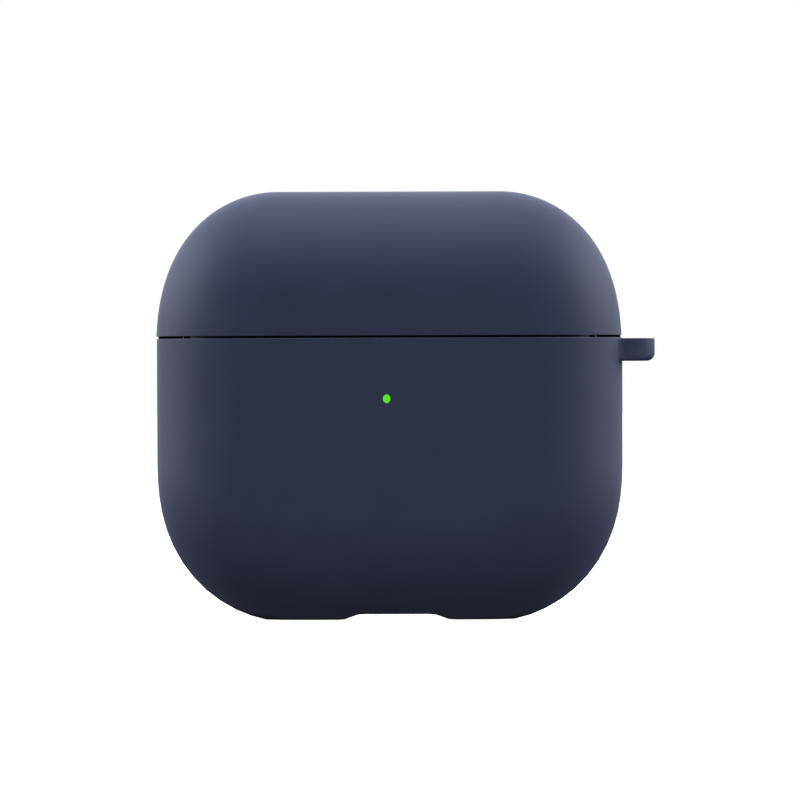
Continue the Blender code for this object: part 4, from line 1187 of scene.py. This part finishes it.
def dress_nodes(materials):
    """Gives the CAD nodes that stay their materials, by the record's slots."""
    by_slot = {
        "silicone": "silicone",
        "case_plastic": "case",
        "hinge_steel": "steel",
        "port_metal": "port",
        "magnet": "magnet",
        "contact_gold": "gold",
        "circuit_board": "board",
        "flex_circuit": "flex",
        "black_resin": "resin",
        "battery_pouch": "foil",
        "light_guide": "light",
        "foam_tape": "foam",
    }
    for entry in frame["record"]["subparts"]:
        node = frame["nodes"][entry["node"]]
        for slot in node.material_slots:
            slot.material = materials[by_slot[entry["material_slot"]]]


# -------- floor, light and camera

VIEW_WIDTH = 91.27 * MM
VIEW_X = 1.17 * MM
VIEW_Z = 25.01 * MM
VIEW_ROLL = radians(0.2)
CAMERA_DISTANCE = 1.4
SENSOR = 36.0
NEUTRAL = (1.0, 1.0, 1.0)
COOL = (0.82, 0.85, 1.0)
SKY_BY_HEIGHT = ((-0.12, 0.0), (0.1, 1.0))
SKY_BY_DEPTH = ((-1.0, 0.08), (0.0, 0.3), (0.7, 1.8))
FRONT_POWER = 25.0
SIDE_POWER = 4.5
RIGHT_SHARE = 0.92
TOP_POWER = 4.6
FLOOR_GLOW = 0.96


def make_stage():
    bm = bmesh.new()
    bmesh.ops.create_grid(bm, x_segments=1, y_segments=1, size=20.0)
    mesh = bpy.data.meshes.new("floor")
    bm.to_mesh(mesh)
    bm.free()
    floor = linked("floor", mesh)
    floor.location.z = -0.02 * MM
    made, _, _, shader = material("pale_floor")
    shader.inputs["Base Color"].default_value = (0.9, 0.9, 0.9, 1.0)
    shader.inputs["Roughness"].default_value = 0.9
    shader.inputs["Specular IOR Level"].default_value = 0.0
    shader.inputs["Emission Color"].default_value = (1.0, 1.0, 1.0, 1.0)
    shader.inputs["Emission Strength"].default_value = FLOOR_GLOW
    mesh.materials.append(made)
    floor.visible_diffuse = False
    floor.visible_glossy = False


def area_light(name, azimuth, elevation, distance, size, power, colour, glossy=True):
    """A soft box that faces the case. Azimuth 0 is in front and 90 on the right. No camera sees it."""
    data = bpy.data.lights.new(name, "AREA")
    data.shape = "RECTANGLE"
    data.size, data.size_y = size
    data.energy = power
    data.color = colour
    light = linked(name, data)
    around, up = radians(azimuth), radians(elevation)
    direction = Vector((sin(around) * cos(up), -cos(around) * cos(up), sin(up)))
    light.location = direction * distance + Vector((0, 0, HEIGHT / 2))
    light.rotation_euler = direction.to_track_quat("Z", "Y").to_euler()
    light.visible_camera = False
    light.visible_glossy = glossy


def make_light_rig():
    """White behind the case for the camera. For its surfaces: dark below, dim in front, bright behind."""
    world = bpy.data.worlds.new("studio")
    bpy.context.scene.world = world
    world.use_nodes = True
    nodes = world.node_tree.nodes
    links = world.node_tree.links
    nodes.clear()
    coordinates = nodes.new("ShaderNodeTexCoord")
    split = nodes.new("ShaderNodeSeparateXYZ")
    links.new(coordinates.outputs["Generated"], split.inputs["Vector"])
    strength = nodes.new("ShaderNodeMath")
    strength.operation = "MULTIPLY"
    for axis, stops, socket in (("Z", SKY_BY_HEIGHT, 0), ("Y", SKY_BY_DEPTH, 1)):
        share = nodes.new("ShaderNodeMapRange")
        share.inputs["From Min"].default_value = -1.0
        links.new(split.outputs[axis], share.inputs["Value"])
        by_axis = ramp(nodes, links, share.outputs["Result"], [((at + 1) / 2, (v, v, v)) for at, v in stops])
        links.new(by_axis.outputs["Color"], strength.inputs[socket])
    glow = nodes.new("ShaderNodeBackground")
    glow.inputs["Color"].default_value = (*COOL, 1.0)
    links.new(strength.outputs["Value"], glow.inputs["Strength"])
    backdrop = nodes.new("ShaderNodeBackground")
    backdrop.inputs["Color"].default_value = (1.0, 1.0, 1.0, 1.0)
    path = nodes.new("ShaderNodeLightPath")
    mix = nodes.new("ShaderNodeMixShader")
    links.new(path.outputs["Is Camera Ray"], mix.inputs["Fac"])
    links.new(glow.outputs["Background"], mix.inputs[1])
    links.new(backdrop.outputs["Background"], mix.inputs[2])
    output = nodes.new("ShaderNodeOutputWorld")
    links.new(mix.outputs["Shader"], output.inputs["Surface"])

    area_light("softbox_front", 0, 9, 1.6, (1.0, 0.25), FRONT_POWER, NEUTRAL, glossy=False)
    area_light("softbox_left", -103, 22, 0.75, (0.6, 0.5), SIDE_POWER, COOL)
    area_light("softbox_right", 103, 22, 0.75, (0.6, 0.5), SIDE_POWER * RIGHT_SHARE, COOL)
    area_light("softbox_top", 0, 86, 0.8, (0.6, 0.6), TOP_POWER, COOL)


def make_camera():
    data = bpy.data.cameras.new("camera")
    data.sensor_width = SENSOR
    data.lens = SENSOR * CAMERA_DISTANCE / VIEW_WIDTH
    data.clip_end = 50.0
    camera = linked("camera", data)
    camera.location = (world_x(VIEW_X), -CAMERA_DISTANCE, VIEW_Z)
    camera.rotation_euler = (radians(90), VIEW_ROLL, 0)
    bpy.context.scene.camera = camera


def main():
    bpy.context.scene.view_settings.view_transform = "Standard"
    make_camera()
    make_stage()
    make_light_rig()
    materials = make_materials()
    dress_nodes(materials)
    make_cover(materials)
    make_shells(materials)
    make_mouldings(materials)
    make_hinge(materials)
    make_button(materials)
    make_light(materials)
    make_port(materials)
    make_contacts(materials)


main()
